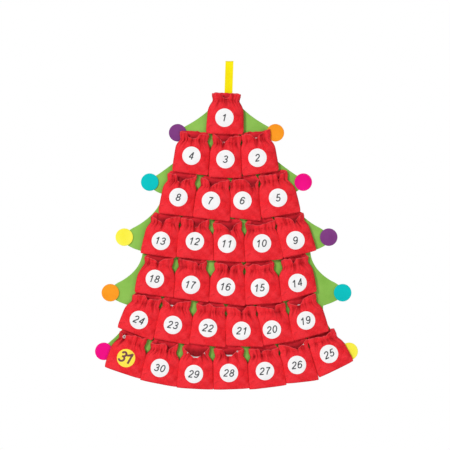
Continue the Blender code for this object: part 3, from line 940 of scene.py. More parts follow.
def front_rim(fit, u):
    """Height of the front rim above the foot. Each crease that climbs to the rim notches it."""
    stops, heights = zip(*RIMS[fit["day"]])
    fine = np.linspace(-1, 1, 161)
    line = np.interp(fine, stops, heights)
    for _ in range(3):
        line = soften(line)
    scallop = 0.0
    for spot, width, deep, _, _, climb, _ in crease_plan(fit, 0):
        away = (u - spot) * RIM_HALF / width / 1.4
        scallop = scallop + NOTCH_SHARE * deep * climb * np.exp(-(away**2))
    return fit["front"] + np.interp(u, fine, line) - scallop


print(len(RIMS), "rims and", len(DISCS), "discs")

# %% [markdown]
# The folds are what makes cloth look like cloth. Where the elastic bunches the cloth it falls into narrow
# creases with round ridges between them. They fan out downwards until they fade, and upwards they run
# into the waves of the ruffle. A deep dip in the rim pulls a long crease below it. Each sack draws its
# folds from its own seed, so that they differ, and come out the same on every run.

# %% Folds
CREASE_GAPS = (0.05, 0.24)
LONG_SHARE = 0.45
DIP_CREASE_MM = 6.0  # a rim that dips further than this has a crease below its dip
DEEPEST_CREASE = 5.0


def crease_plan(fit, panel):
    """Creases of one panel: place, width, depth, length, drift, share that climbs, middle height."""
    day = fit["day"]
    rng = random.Random(1000 * day + panel)
    plan = []
    spot = -0.98 + rng.uniform(0, 0.1)
    while spot < 0.96:
        drift = 0.16 * spot + rng.uniform(-0.1, 0.1)
        if rng.random() < LONG_SHARE:
            size = (rng.uniform(1.1, 2.2), rng.uniform(2.6, 5.0), rng.uniform(11, 30))
            climb, middle = rng.choice((0.0, 0.4, 0.9)), rng.uniform(-2, 1)
        else:
            size = (rng.uniform(0.7, 1.2), rng.uniform(1.2, 3.0), rng.uniform(3, 8))
            climb, middle = rng.choice((0.0, 0.0, 0.5)), rng.uniform(-3.5, 2)
        plan.append((spot, *size, drift, climb, middle))
        spot += rng.uniform(*CREASE_GAPS)
    for side in (-1, 1):  # the folds that run from the neck out over the shoulders
        for _ in range(rng.choice((1, 2))):
            start = side * rng.uniform(0.42, 0.78)
            size = (rng.uniform(1.0, 1.6), rng.uniform(2.2, 4.0), rng.uniform(20, 34))
            plan.append((start, *size, side * rng.uniform(0.18, 0.36), 0.1, -2))
    dip_spot, dip = min(RIMS[day], key=lambda stop: stop[1])
    if panel == 0 and dip < -DIP_CREASE_MM:
        plan.append((dip_spot, 1.8, 4.2, 26, 0.12 * dip_spot, 1.0, 0))
    return plan


def creases(fit, panel, u, h):
    """How far the creases draw the cloth in, in millimetres."""
    neck = neck_height(fit)
    half = half_width(fit, h)
    total = np.zeros_like(u)
    for spot, width, deep, long, drift, climb, middle in crease_plan(fit, panel):
        from_middle = h - neck - middle
        below = np.clip(-from_middle / long, 0, 1)
        above = np.clip(from_middle / (4 + 0.5 * long), 0, 1)
        strength = np.where(from_middle < 0, (1 - below) ** 1.1, 1 - (1 - climb) * above**0.8)
        away = np.abs((u - spot - drift * below) * half) / (width * (1 + 0.8 * below + 0.7 * above))
        total += deep * strength * np.exp(-(away**1.3))
    return DEEPEST_CREASE * np.tanh(total / DEEPEST_CREASE)


def waves(fit, panel, u, h):
    """The ruffle's own waves, strongest at the rim."""
    rng = random.Random(2000 * fit["day"] + panel)
    rise = ease(0, 14, h - neck_height(fit))
    total = np.zeros_like(u)
    for count, size in ((2.3, 1.2), (3.9, 1.2), (6.4, 0.8)):
        total += size * np.sin(math.pi * count * u * rng.uniform(0.8, 1.2) + rng.uniform(0, 6.28))
    return total * rise


def lumps(fit, panel, u, h):
    """Slow unevenness of an empty sack."""
    rng = random.Random(3000 * fit["day"] + panel)
    total = np.zeros_like(u)
    for count, across, up in ((6, (1.2, 4.2), (0.03, 0.11)), (4, (-10, 10), (0.08, 0.2))):
        for _ in range(count):
            size = rng.uniform(0.2, 0.5)
            total += size * np.sin(rng.uniform(*across) * u + rng.uniform(*up) * h + rng.uniform(0, 6.28))
    return total * ease(1, 14, h)


print("day 15's front has", len(crease_plan(fits[15], 0)), "creases")

# %% [markdown]
# Neighbours hang side by side and press on each other. Each side therefore reaches out until it meets the
# next sack, and at the ruffles it leans over by as much as the photograph shows.

# %% Where neighbours meet
ROWS = (
    (1,), (4, 3, 2), (8, 7, 6, 5), (13, 12, 11, 10, 9), (18, 17, 16, 15, 14), (24, 23, 22, 21, 20, 19),
    (31, 30, 29, 28, 27, 26, 25),
)
SIDE_GAP_MM = -0.06  # below zero, because neighbours press on each other
OUTER_REACH_MM = 1.6
OUTER_REACHES = {(4, 0): 3.0, (8, 0): 3.6, (5, 1): 3.6, (18, 0): 0.0, (14, 1): 0.0}  # 0 is left, 1 right
MOST_REACH_MM = 3.0
NECK_STARTS, NECK_FULL = 60, 88  # heights between which a side goes over from body to neck
# At the ruffles of each pair of neighbours: how far the left one leans over, and the right one.
NECK_REACHES = {
    (4, 3): (1.6, -1.4), (3, 2): (3.4, 3.4), (8, 7): (1.8, 0.8), (7, 6): (2.6, 2.6), (6, 5): (1.8, 1.4),
    (13, 12): (3.0, 3.0), (12, 11): (-1.2, 2.5), (11, 10): (-1.0, 1.5), (10, 9): (3.2, 3.2),
    (18, 17): (1.5, 1.6), (17, 16): (-0.5, 0.8), (16, 15): (2.8, 2.6), (15, 14): (1.0, -2.0),
    (24, 23): (2.2, 2.2), (23, 22): (-1.8, 0.5), (22, 21): (3.0, 3.0), (21, 20): (1.6, 1.6),
    (20, 19): (1.4, 3.0), (30, 29): (-2.8, -1.2), (29, 28): (-2.2, 2.6), (28, 27): (1.2, 1.2),
    (27, 26): (3.2, 3.2), (26, 25): (2.4, 2.4),
}
# A corner that is pulled over to its left neighbour: its share of the gap, and the most it reaches.
CORNER_REACHES = {25: (0.75, 9.0)}
SIDE_HEIGHTS = np.arange(0.0, 124.0, 4.0)


def side_line(fit, side):
    """Points down one side of a sack, in millimetres, before the side reaches out."""
    half = half_width(fit, SIDE_HEIGHTS) * side
    local = to_local(fit, half, np.zeros(len(half)), SIDE_HEIGHTS)
    turn_and_move = np.array(fit["place"])
    return (local @ turn_and_move[:3, :3].T + turn_and_move[:3, 3] / MM)[:, [0, 2]]


def reach_towards(own, other, neck_mm, share, most):
    """How far a side may reach towards its neighbour at each height."""
    gaps = np.hypot(*(own[:, None] - other[None]).transpose(2, 0, 1)).min(axis=1)
    at_neck = ease(NECK_STARTS, NECK_FULL, SIDE_HEIGHTS)
    limit = most * ease(NECK_FULL, NECK_STARTS, SIDE_HEIGHTS) + neck_mm * at_neck
    free = np.clip((gaps - SIDE_GAP_MM) * share, 0, limit)
    return soften(free)


def plain_reach(day, side):
    """How far a side without a neighbour reaches out at each height."""
    return OUTER_REACHES.get((day, side), OUTER_REACH_MM) * ease(NECK_FULL, NECK_STARTS, SIDE_HEIGHTS)


reaches = {day: [plain_reach(day, 0), plain_reach(day, 1)] for day in DAYS}
for row in ROWS:
    for left_day, right_day in zip(row, row[1:]):
        left_line, right_line = side_line(fits[left_day], 1), side_line(fits[right_day], -1)
        left_mm, right_mm = NECK_REACHES.get((left_day, right_day), (0.0, 0.0))
        share, most = CORNER_REACHES.get(right_day, (0.5, MOST_REACH_MM))
        reaches[left_day][1] = reach_towards(left_line, right_line, left_mm, 1 - share, MOST_REACH_MM)
        reaches[right_day][0] = reach_towards(right_line, left_line, right_mm, share, most)
print("near its foot, day 3's sides reach out by", [round(float(side[2]), 1) for side in reaches[3]], "mm")

# %% [markdown]
# Each copy of the tube is shaped next. Its body rows stand at fixed heights, and the rows above them
# reach up to the rim, so a notch in the rim is cloth that folds down rather than a hole. The folds move
# the cloth in and out, but not under the day's disc, nor where stitches hold the back to the felt.

# %% Folded cloth
BACK_RIM_LIFTS = {1: 2.8, 2: 3.4, 4: 3.8}  # backs that stand higher: the top one hides the ribbon's foot
SMOOTH_BACK_DAY = 1
FOOT_SAG_MM = 1.2
PUCKER_MM = 0.05
HEM_BELOW_MM = 3  # the stitches that hold the back lie this far below its hinge line


def row_heights(fit, rim):
    """Height of every point of the tube, for the rim height above it."""
    body_top = neck_height(fit) - BODY_TOP_BELOW_NECK
    share = np.maximum(tube_row, 0) / BODY_ROWS
    body = body_top * (0.55 * share + 0.45 * share**1.6)
    ruffle = body_top + (rim - body_top) * (tube_row - BODY_ROWS) / RUFFLE_ROWS
    return np.where(tube_row < 0, -0.4, np.where(tube_row <= BODY_ROWS, body, ruffle))


def side_reach(fit, u, h):
    """How far a point is carried sideways by its side's reach, most at the seam."""
    left, right = (np.interp(h, SIDE_HEIGHTS, side) for side in reaches[fit["day"]])
    return np.where(u > 0, right, left) * u * np.abs(u)


def cloth_place(fit, u, front, h, rim):
    """Local points of the folded cloth, at shares u across and heights h, on the front or the back."""
    day = fit["day"]
    x, depth = cloth_point(fit, u, front, h)
    x = x + side_reach(fit, u, h)
    label_x, label_h, _ = DISCS[day]
    away = np.hypot(x - label_x, h - label_h)
    edge = 1 - np.abs(u) ** 8
    front_fold = creases(fit, 0, u, h) * (0.12 + 0.88 * ease(21, 29, away))
    front_move = waves(fit, 0, u, h) + lumps(fit, 0, u, h) - front_fold
    back_move = -0.5 * waves(fit, 1, u, h) + 0.4 * lumps(fit, 1, u, h) + 0.75 * creases(fit, 1, u, h)
    depth = depth + np.where(front, front_move, back_move) * edge

    neck = neck_height(fit)
    below_rim = rim - h
    in_ruffle = ease(neck - 15, neck - 10, h)
    hem = 0.45 * ease(3.4, 2.0, below_rim) * in_ruffle
    dip = np.clip(fit["front"] - rim, 0, 20) * ease(12, 0, below_rim) * in_ruffle
    depth = depth + np.where(front, hem - 0.16 * dip, -hem) * edge

    stitch_h = -fit["foot"] - HEM_BELOW_MM
    hold = ease(24, 14, np.abs(x)) * ease(11, 4, np.abs(h - stitch_h)) * ~front
    depth = depth + hold * (fit["seat"] + 0.5 - depth)
    pucker = PUCKER_MM * np.sin(h * 0.9 + day) * (np.abs(u) > 0.93) * ease(0, 10, h)
    spots = to_local(fit, x + np.sign(u) * pucker, depth, h)
    spots[:, 2] -= FOOT_SAG_MM * (1 - u**4) * ease(9, 0, h)
    return spots


def back_rim(fit, u):
    """Height of the back rim above the foot. It meets the front rim at the seams."""
    rng = random.Random(4000 * fit["day"])
    seam_rim = front_rim(fit, np.sign(u))
    level = fit["back"] + BACK_RIM_LIFTS.get(fit["day"], 0)
    wavy = 0.3 if fit["day"] == SMOOTH_BACK_DAY else 1.0
    slow_wave = 0.8 * np.sin(5 * u + rng.uniform(0, 6))
    quick_wave = 0.5 * np.sin(11 * u + rng.uniform(0, 6))
    line = level + wavy * (slow_wave + quick_wave)
    return seam_rim + (line - seam_rim) * ease(1.0, 0.72, np.abs(u))


print("day 15's back rim stands", round(float(back_rim(fits[15], np.array([0.0]))[0]), 1), "mm high")

# %% [markdown]
# Solidify gives the cloth its wall, with the duller wrong side of the cotton inside. Three values for
# each point tell the material how far down inside it lies, for painted shade inside and a painted
# highlight at the rim; how much painted shade it gets in creases, hollows, seams and at the neck; and how
# tightly it is gathered.

# %% Sew the sacks
PAINTED_DARK_BELOW_MM = 20.0  # from here down, the painted shade inside a sack is darkest
NECK_SHADE = 0.16
JITTER_MM = 0.35  # small waves all along the rim


def shape_sack(fit):
    """One sack's points in millimetres, their heights, how far below the rim they lie, and their shade."""
    jitter = JITTER_MM * np.sin(17 * tube_u + fit["day"]) * ease(1, 0.9, np.abs(tube_u))
    on_front = tube_front | tube_seam
    rim = np.where(on_front, front_rim(fit, tube_u), back_rim(fit, tube_u)) + jitter
    h = row_heights(fit, rim)
    spots = cloth_place(fit, tube_u, tube_front, h, rim)
    middle = to_local(fit, spots[:, 0], (back_depth(fit, h) + front_depth(fit, h)) / 2, h)
    spots[:, 1] = np.where(tube_row < 0, middle[:, 1], spots[:, 1])
    # Painted shade: darker in the creases, in the valleys of the ruffle's waves, along the neck, at the
    # side seams and at the foot.
    folded = np.where(tube_front, creases(fit, 0, tube_u, h), creases(fit, 1, tube_u, h)) / DEEPEST_CREASE
    painted_hollow_shade = np.clip(-waves(fit, 0, tube_u, h), 0, 3) / 3 * tube_front
    near_neck = np.exp(-(((h - fit["front"] + NECK_BELOW_RIM) / 1.8) ** 2))
    painted_seam_shade = 0.7 * ease(0.95, 1.0, np.abs(tube_u)) + 0.35 * ease(3.0, 0.0, h)
    shade = np.clip(folded + 0.3 * painted_hollow_shade + NECK_SHADE * near_neck + painted_seam_shade, 0, 1)
    return spots, h, rim - h, shade


def lay_values(obj, name, values):
    """Keeps one number for each point, which a material can read."""
    kept = obj.data.attributes.new(name, "FLOAT", "POINT")
    kept.data.foreach_set("value", values.astype(np.float32))


def lay_sack_flat(obj, fit, h):
    """Lays the sack's cloth flat in metres: across, round to the back and up."""
    corners = corners_of(obj)
    totals = np.empty(len(obj.data.polygons), dtype=np.int64)
    obj.data.polygons.foreach_get("loop_total", totals)
    owner = np.repeat(np.arange(len(totals)), totals)
    on_front = np.zeros(len(totals), dtype=bool)
    np.logical_or.at(on_front, owner, tube_front[corners])
    u = tube_u[corners]
    across = np.where(on_front[owner], u, 2 - u) * fit["half"] * MM
    lay_uv(obj, across, h[corners] * MM)


def finish_on_sack(piece, fit, kind, slot, *stands_for):
    """Puts a piece that was made in a sack's own frame in its place, where it rides on the pouch."""
    settle(piece, fit["place"])
    number = f"{fit['day']:02d}"
    return finish_piece(piece, f"{kind}_{number}", f"pouch_{number}", slot, *stands_for)


def make_sack(fit):
    day = fit["day"]
    sack = copy_piece(tube, f"sack_{day:02d}")
    spots, h, below_rim, shade = shape_sack(fit)
    move_points(sack, spots * MM)
    lay_values(sack, "down_inside", np.clip(below_rim / PAINTED_DARK_BELOW_MM, 0, 1))
    lay_values(sack, "painted_shade_amount", shade)
    above_neck = h - fit["front"] + NECK_BELOW_RIM
    gathered = np.where(above_neck < 0, ease(-26, 0, above_neck), ease(20, 0, above_neck))
    lay_values(sack, "gathered", tube_front * gathered)
    drop_uv(sack)
    lay_sack_flat(sack, fit, h)
    sack.data.materials.append(red_cotton)
    sack.data.materials.append(cotton_back)
    thicken(sack, CLOTH_MM * MM, inner_material=1)
    bpy.ops.object.shade_smooth_by_angle(angle=math.radians(70))
    finish_on_sack(sack, fit, "sack", "pouch_cloth", f"pouch_{day:02d}")
    return sack


sacks = {day: make_sack(fits[day]) for day in DAYS}
print(len(sacks), "sacks of", len(sacks[15].data.polygons), "faces each")

# %% [markdown]
# ## Neck elastics
# A flat white elastic runs round the inside of each neck. It shows where a rim dips, in seven of the
# sacks. A band is made for those, which follows the inside of the cloth and sags out of its casing below
# the dip.

# %% Elastics
ELASTIC_MM = 3.4
ELASTIC_THICKNESS_MM = 0.6
ABOVE_NECK_MM = 1.5
ELASTIC_INSET_MM = 0.7
ELASTIC_CLEAR_MM = 0.4  # the gap between elastic and cloth where it sags out of the casing
CASING_STEP_MM = 0.1  # the gap between elastic and cloth where the casing holds it
ELASTIC_HALF_LENGTH = 0.033
ELASTIC_DIPS = {  # place across, width as a share of the half neck, millimetres up
    2: (-0.05, 0.2, 4.5), 3: (-0.18, 0.3, 1.0), 19: (-0.33, 0.3, 2.5), 23: (-0.38, 0.3, 1.5),
    28: (0.0, 0.35, -0.6), 29: (0.0, 0.5, -8.2), 31: (-0.6, 0.14, 8.5),
}

band = open_tube(6)
face_outwards(band)
ring = points_of(band)
ring_u = share_across(ring)
ring_front = ring[:, 1] < -ON_SEAM


def make_elastic(fit, dip):
    """One elastic, and its sag at the dip of its sack's rim."""
    spot, width, sag = dip
    piece = copy_piece(band, f"elastic_{fit['day']:02d}")
    level = neck_height(fit) + ABOVE_NECK_MM + ring[:, 2] * ELASTIC_MM / 2
    level = level + np.where(ring_front, sag * np.exp(-(((ring_u - spot) / width) ** 2)), 0)
    cloth = cloth_place(fit, ring_u, ring_front, level, front_rim(fit, ring_u))
    out_of_casing = np.where(ring_front, np.exp(-(((ring_u - spot) / width / 1.2) ** 4)), 0)
    step_in = CLOTH_MM + CASING_STEP_MM + (ELASTIC_CLEAR_MM - CASING_STEP_MM) * out_of_casing
    inwards = np.where(ring_front, step_in * (1 - 0.6 * ring_u**6), -0.15)
    x = cloth_point(fit, ring_u, ring_front, level, ELASTIC_INSET_MM)[0]
    x = x + side_reach(fit, ring_u, level)
    drop_uv(piece)
    move_points(piece, np.stack([x, cloth[:, 1] + inwards, cloth[:, 2]], axis=1) * MM)
    corners = corners_of(piece)
    lay_uv(piece, ring_u[corners] * ELASTIC_HALF_LENGTH, level[corners] * MM)
    thicken(piece, ELASTIC_THICKNESS_MM * MM)
    bpy.ops.object.shade_smooth_by_angle(angle=math.radians(60))
    piece.data.materials.append(white_elastic)
    finish_on_sack(piece, fit, "elastic", "elastic", f"pouch_{fit['day']:02d}_elastic")


for day, dip in ELASTIC_DIPS.items():
    make_elastic(fits[day], dip)
bpy.data.objects.remove(band)
print(len(ELASTIC_DIPS), "elastics")

# %% [markdown]
# At a few rims a small loop of the elastic stands out of its casing. Each is a ring, made larger or
# smaller.

# %% Small loops of elastic
LOOP_RADIUS_MM, LOOP_WIRE_MM = 2.0, 0.75
LOOPS = (  # day, place across, millimetres above the rim there, millimetres forward, size
    (31, -0.60, -0.9, 2.6, 1.6), (28, 0.55, -1.5, 0.6, 0.8), (29, -0.62, -2.5, 0.45, 0.6),
    (29, 0.62, -2.5, 0.45, 0.6), (26, 0.66, -2.0, 0.45, 0.6),
)

bpy.ops.object.select_all(action="DESELECT")
bpy.ops.mesh.primitive_torus_add(
    major_segments=20, minor_segments=8, rotation=(math.radians(90), 0, 0),
    major_radius=LOOP_RADIUS_MM * MM, minor_radius=LOOP_WIRE_MM * MM,
)
loop = bpy.context.object
bpy.ops.object.transform_apply(location=False, rotation=True, scale=False)
drop_uv(loop)
bpy.ops.object.shade_smooth_by_angle(angle=math.radians(60))
for number, (day, u, above, forward, size) in enumerate(LOOPS, 1):
    fit = fits[day]
    across = np.array([u])
    rim = front_rim(fit, across)
    at_rim = cloth_place(fit, across, np.array([True]), rim, rim)[0]
    small = copy_piece(loop, f"elastic_loop_{number}")
    small.data.transform(Matrix.Diagonal((size, size, size * 0.9, 1)))
    shift = Vector((at_rim[0], at_rim[1] - forward, at_rim[2] + above)) * MM
    small.data.transform(Matrix.Translation(shift))
    spots = points_of(small)[corners_of(small)]
    lay_uv(small, spots[:, 0], spots[:, 2])
    small.data.materials.append(white_elastic)
    settle(small, fit["place"])
    finish_piece(small, f"elastic_loop_{number}", f"pouch_{day:02d}", "elastic")
bpy.data.objects.remove(loop)
print(len(LOOPS), "loops of elastic")

# %% [markdown]
# Stitches, discs and numbers all lie on the cloth. They are drawn flat in the sack's own frame, and each
# of their points is then moved back until it meets the cloth at its own place, which the shape of the
# sack gives.

# %% Lay flat pieces on the cloth


def height_above_foot(fit, x, z):
    """Undoes to_local: the height above the foot of a place on the sack."""
    h = z - fit["foot"]
    for _ in range(4):
        share = (h - SEAM_RISE) / (fit["back"] - SEAM_RISE)
        slope = fit["foot_slope"] + share * (fit["top_slope"] - fit["foot_slope"])
        h = z - fit["foot"] - slope * x
    return h


def cloth_y(fit, x, z):
    """How far back the front of the cloth lies at a place on the sack, in millimetres."""
    h = height_above_foot(fit, x, z)
    half = half_width(fit, h)
    u = x / half
    for _ in range(4):
        u = np.clip((x - side_reach(fit, u, h)) / half, -1, 1)
    return cloth_place(fit, u, np.ones(len(u), dtype=bool), h, front_rim(fit, u))[:, 1]


def lay_on_cloth(piece, fit, rise):
    """Moves a flat piece, drawn around y = 0 in the sack's own frame, on to the cloth."""
    spots = points_of(piece) / MM
    spots[:, 1] += cloth_y(fit, spots[:, 0], spots[:, 2]) - rise
    move_points(piece, spots * MM)


def disc_centre(fit):
    across, up, _ = DISCS[fit["day"]]
    return to_local(fit, np.array(across), np.array(0.0), np.array(up))[[0, 2]]


sample = cloth_y(fits[15], np.array([0.0]), np.array([-30.0]))
print("the cloth of day 15 lies", round(float(sample[0]), 1), "mm back")

# %% [markdown]
# ## Stitches
# Two rows of stitches hold the elastic in its casing, and a short row sews each sack to the felt. One
# stitch is modelled from a six-sided cylinder with drawn-in ends. An array makes a straight row of it,
# which is then laid along its seam.

# %% Stitches
STITCH_LONG_MM, STITCH_WIDE_MM, STITCH_PITCH_MM = 2.6, 0.55, 3.4
THREAD_OUT = 0.00012  # how far the thread stands out of the back of the felt

bpy.ops.object.select_all(action="DESELECT")
bpy.ops.mesh.primitive_cylinder_add(
    vertices=6, radius=STITCH_WIDE_MM / 2 * MM,
    depth=STITCH_LONG_MM * 0.6 * MM, rotation=(0, math.radians(90), 0),
)
stitch = bpy.context.object
bpy.ops.object.transform_apply(location=False, rotation=True, scale=False)
for side in (-1, 1):
    select_where(stitch, "FACE", lambda face: face.normal.x * side > 0.9)
    tip = (side * STITCH_LONG_MM * 0.2 * MM, 0, 0)
    with edit_mode():
        bpy.ops.mesh.extrude_region_move(TRANSFORM_OT_translate={"value": tip})
        bpy.ops.transform.resize(value=(1, 0.45, 0.45))
with edit_mode():
    bpy.ops.mesh.select_mode(type="VERT")
drop_uv(stitch)


def stitch_row(name, count):
    """A straight row of stitches along x, its middle at the origin."""
    row = copy_piece(stitch, name)
    line = row.modifiers.new("row", "ARRAY")
    line.count = count
    line.use_relative_offset = False
    line.use_constant_offset = True
    line.constant_offset_displace = (STITCH_PITCH_MM * MM, 0, 0)
    apply_modifiers(row)
    row.data.transform(Matrix.Translation((-(count - 1) / 2 * STITCH_PITCH_MM * MM, 0, 0)))
    bpy.ops.object.shade_smooth_by_angle(angle=math.radians(60))
    return row


def join_pieces(pieces):
    bpy.ops.object.select_all(action="DESELECT")
    for piece in pieces:
        piece.select_set(True)
    bpy.context.view_layer.objects.active = pieces[0]
    bpy.ops.object.join()
    return pieces[0]


print("one stitch has", len(stitch.data.polygons), "faces")

# %% [markdown]
# The upper row of a casing leaves out the stitches that would stand in a dip of the rim. The stitches
# that sew the sacks to the felt come through on its back.

# %% Casings and hems
CASING_HALF_MM = 3.4
CASING_RISE_MM = 0.1
STAGGER_MM = 0.8
RIM_CLEAR_MM = 2.5
HEM_STITCHES = 9


def hide_stitches(row, spots, low):
    """Takes out the stitches that would stand in a dip of the rim, and returns the points that stay."""
    size = len(stitch.data.vertices)
    gone = low.reshape(-1, size).any(axis=1).repeat(size)
    pick(row)
    for vertex, out in zip(row.data.vertices, gone):
        vertex.select = bool(out)
    with edit_mode():
        bpy.ops.mesh.delete(type="VERT")
    return spots[~gone]


def sew_casing(fit):
    """Two rows of stitches along the neck of one sack."""
    neck = neck_height(fit)
    count = int(2 * (NECK_HALF - 1.0) / STITCH_PITCH_MM)
    rows = []
    for side in (-1, 1):
        row = stitch_row("casing", count)
        spots = points_of(row) / MM
        spots[:, 0] += STAGGER_MM * side
        level = neck + side * CASING_HALF_MM + spots[:, 2]
        spots[:, 2] = to_local(fit, spots[:, 0], np.zeros(len(spots)), level)[:, 2]
        low = front_rim(fit, spots[:, 0] / RIM_HALF) - neck < side * CASING_HALF_MM + RIM_CLEAR_MM
        if side > 0 and low.any():
            spots = hide_stitches(row, spots, low)
        move_points(row, spots * MM)
        lay_on_cloth(row, fit, CASING_RISE_MM)
        rows.append(row)
    sewn = join_pieces(rows)
    sewn.data.materials.append(red_thread)
    finish_on_sack(sewn, fit, "casing", "pouch_cloth")


for day in DAYS:
    sew_casing(fits[day])

hems = []
for day in DAYS:
    row = stitch_row("hem", HEM_STITCHES)
    settle(row, fits[day]["place"] @ Matrix.Translation((0, 0, -HEM_BELOW_MM * MM)))
    spots = points_of(row)
    spots[:, 1] += felt_high.y - spots[:, 1].mean() + THREAD_OUT
    move_points(row, spots)
    hems.append(row)
hem_stitches = join_pieces(hems)
hem_stitches.data.materials.append(red_thread)
finish_piece(hem_stitches, "hem_stitches", "tree", "pouch_cloth")
print("casings on", len(DAYS), "sacks, and", len(hem_stitches.data.polygons), "faces of hem stitches")

# %% [markdown]
# ## Discs and numbers
# The day discs are printed on the cloth, so they follow it. One flat disc is cut into rings, and a copy
# of it is laid on each sack.

# %% Discs
DISC_RADIUS = 0.0229
DISC_RINGS = (0.0007, 0.0018, 0.0022, 0.0025, 0.0025, 0.0025, 0.0025, 0.0025, 0.0025)
DISC_THICKNESS = 0.0003
DISC_RISE_MM = 0.4
BOLD_DAY = 31  # the last day has a yellow disc and larger figures

bpy.ops.object.select_all(action="DESELECT")
bpy.ops.mesh.primitive_circle_add(
    vertices=72, radius=DISC_RADIUS, fill_type="NGON", rotation=(math.radians(90), 0, 0)
)
flat_disc = bpy.context.object
bpy.ops.object.transform_apply(location=False, rotation=True, scale=False)
with edit_mode("SELECT"):
    for ring_width in DISC_RINGS:
        bpy.ops.mesh.inset(thickness=ring_width, depth=0)
    bpy.ops.mesh.poke()
drop_uv(flat_disc)
thicken(flat_disc, DISC_THICKNESS, offset=0)


def print_on_sack(piece, fit, kind, rise, material):
    """Lays a flat piece on the cloth where the day's disc sits, and finishes it."""
    x, z = disc_centre(fit) * MM
    piece.data.transform(Matrix.Translation((x, 0, z)))
    lay_on_cloth(piece, fit, rise)
    pick(piece)
    bpy.ops.object.shade_smooth_by_angle(angle=math.radians(60))
    piece.data.materials.clear()
    piece.data.materials.append(material)
    finish_on_sack(piece, fit, kind, "pouch_cloth")


for day in DAYS:
    disc = copy_piece(flat_disc, f"label_{day:02d}")
    print_on_sack(disc, fits[day], "label", DISC_RISE_MM, disc_yellow if day == BOLD_DAY else disc_white)
bpy.data.objects.remove(flat_disc)
print("discs", round(DISC_RADIUS * 2000, 1), "mm across")

# %% [markdown]
# The numbers are plain slanted figures. Each figure is drawn with one or two strokes of even width, as
# with a marker, on a field one unit high. A stroke becomes a curve with a round bevel, which is then
# pressed almost flat like ink.

# %% Figures drawn with strokes
FIGURE_WIDTH = 0.64
FIGURE_STEP = 0.79
BIG_STEP = 0.68
SLANT = 0.20
INK_THICKNESS = 0.0003
LONGEST_RUN = 0.09


def bow(x, z, reach_x, reach_z, start, stop, steps=14):
    """Points along an ellipse round (x, z), between two angles in degrees."""
    turns = [math.radians(start + (stop - start) * step / steps) for step in range(steps + 1)]
    return [(x + reach_x * math.cos(turn), z + reach_z * math.sin(turn)) for turn in turns]


def upside_down(strokes):
    return [[(FIGURE_WIDTH - x, 1 - z) for x, z in stroke] for stroke in strokes]


SIX = [bow(0.350, 0.500, 0.275, 0.440, 38, 200, 18), bow(0.330, 0.325, 0.245, 0.265, 0, 360, 24)]
FIGURES = {
    "0": [bow(0.320, 0.500, 0.250, 0.440, 0, 360, 28)],
    "1": [[(0.385, 0.0), (0.385, 1.0)], [(0.385, 0.945), (0.310, 0.850), (0.220, 0.775), (0.120, 0.715)]],
    "2": [
        bow(0.325, 0.695, 0.235, 0.245, 172, -18, 14)
        + [(0.485, 0.505), (0.370, 0.385), (0.240, 0.275), (0.145, 0.165), (0.105, 0.060)],
        [(0.040, 0.060), (0.590, 0.060)],
    ],
    "3": [
        bow(0.305, 0.725, 0.215, 0.215, 165, -88, 14),
        bow(0.305, 0.285, 0.250, 0.225, 90, -165, 16),
        [(0.215, 0.511), (0.315, 0.511)],
    ],
    "4": [[(0.455, 0.960), (0.085, 0.300)], [(0.040, 0.285), (0.620, 0.285)], [(0.470, 0.0), (0.470, 1.0)]],
    "5": [
        [(0.205, 0.940), (0.560, 0.940)],
        [(0.215, 0.970), (0.135, 0.480)],
        bow(0.310, 0.320, 0.255, 0.260, 140, -165, 18),
    ],
    "6": SIX,
    "7": [
        [(0.050, 0.940), (0.590, 0.940)],
        [(0.555, 0.930), (0.450, 0.790), (0.365, 0.630), (0.300, 0.450), (0.262, 0.240), (0.250, 0.0)],
    ],
    "8": [bow(0.320, 0.735, 0.205, 0.205, 0, 360, 24), bow(0.320, 0.285, 0.250, 0.225, 0, 360, 24)],
    "9": upside_down(SIX),
}
BIG_FIGURES = {
    "3": FIGURES["3"],
    "1": [FIGURES["1"][0], [(0.385, 0.945), (0.260, 0.830), (0.100, 0.745), (-0.080, 0.705)]],
}


def even_out(stroke):
    """Adds points to long straight runs, so that they can follow the cloth."""
    points = [stroke[0]]
    for first, second in zip(stroke, stroke[1:]):
        steps = max(1, round(math.dist(first, second) / LONGEST_RUN))
        for step in range(1, steps + 1):
            x = first[0] + (second[0] - first[0]) * step / steps
            points.append((x, first[1] + (second[1] - first[1]) * step / steps))
    return points


def draw_figures(words, figures, height, stroke_share, step_share, widen=1.0):
    """Strokes of a whole number as one flat mesh, its middle at the origin, in metres."""
    data = bpy.data.curves.new("strokes", "CURVE")
    data.dimensions = "3D"
    data.bevel_depth = stroke_share / 2
    data.bevel_resolution = 2
    data.use_fill_caps = True
    for place, figure in enumerate(words):
        for stroke in figures[figure]:
            closed = stroke[0] == stroke[-1] or math.dist(stroke[0], stroke[-1]) < 0.001
            points = stroke[:-1] if closed else even_out(stroke)
            spline = data.splines.new("POLY")
            spline.points.add(len(points) - 1)
            spline.use_cyclic_u = closed
            for knot, (x, z) in zip(spline.points, points):
                knot.co = ((x + place * step_share) * widen + SLANT * z, 0, z, 1)
    drawn = bpy.data.objects.new("strokes", data)
    bpy.context.scene.collection.objects.link(drawn)
    pick(drawn)
    bpy.ops.object.convert(target="MESH")
    spots = points_of(drawn)
    middle = (spots.min(0) + spots.max(0)) / 2
    spots = (spots - middle) * height / (1 + stroke_share / 2)
    spots[:, 1] *= INK_THICKNESS / 2 / (stroke_share / 2 * height)
    move_points(drawn, spots)
    return drawn


print("figures drawn:", " ".join(FIGURES))

# %% [markdown]
# Each number is turned as its disc is in the photograph. The bold one on the last day has figures of its
# own.

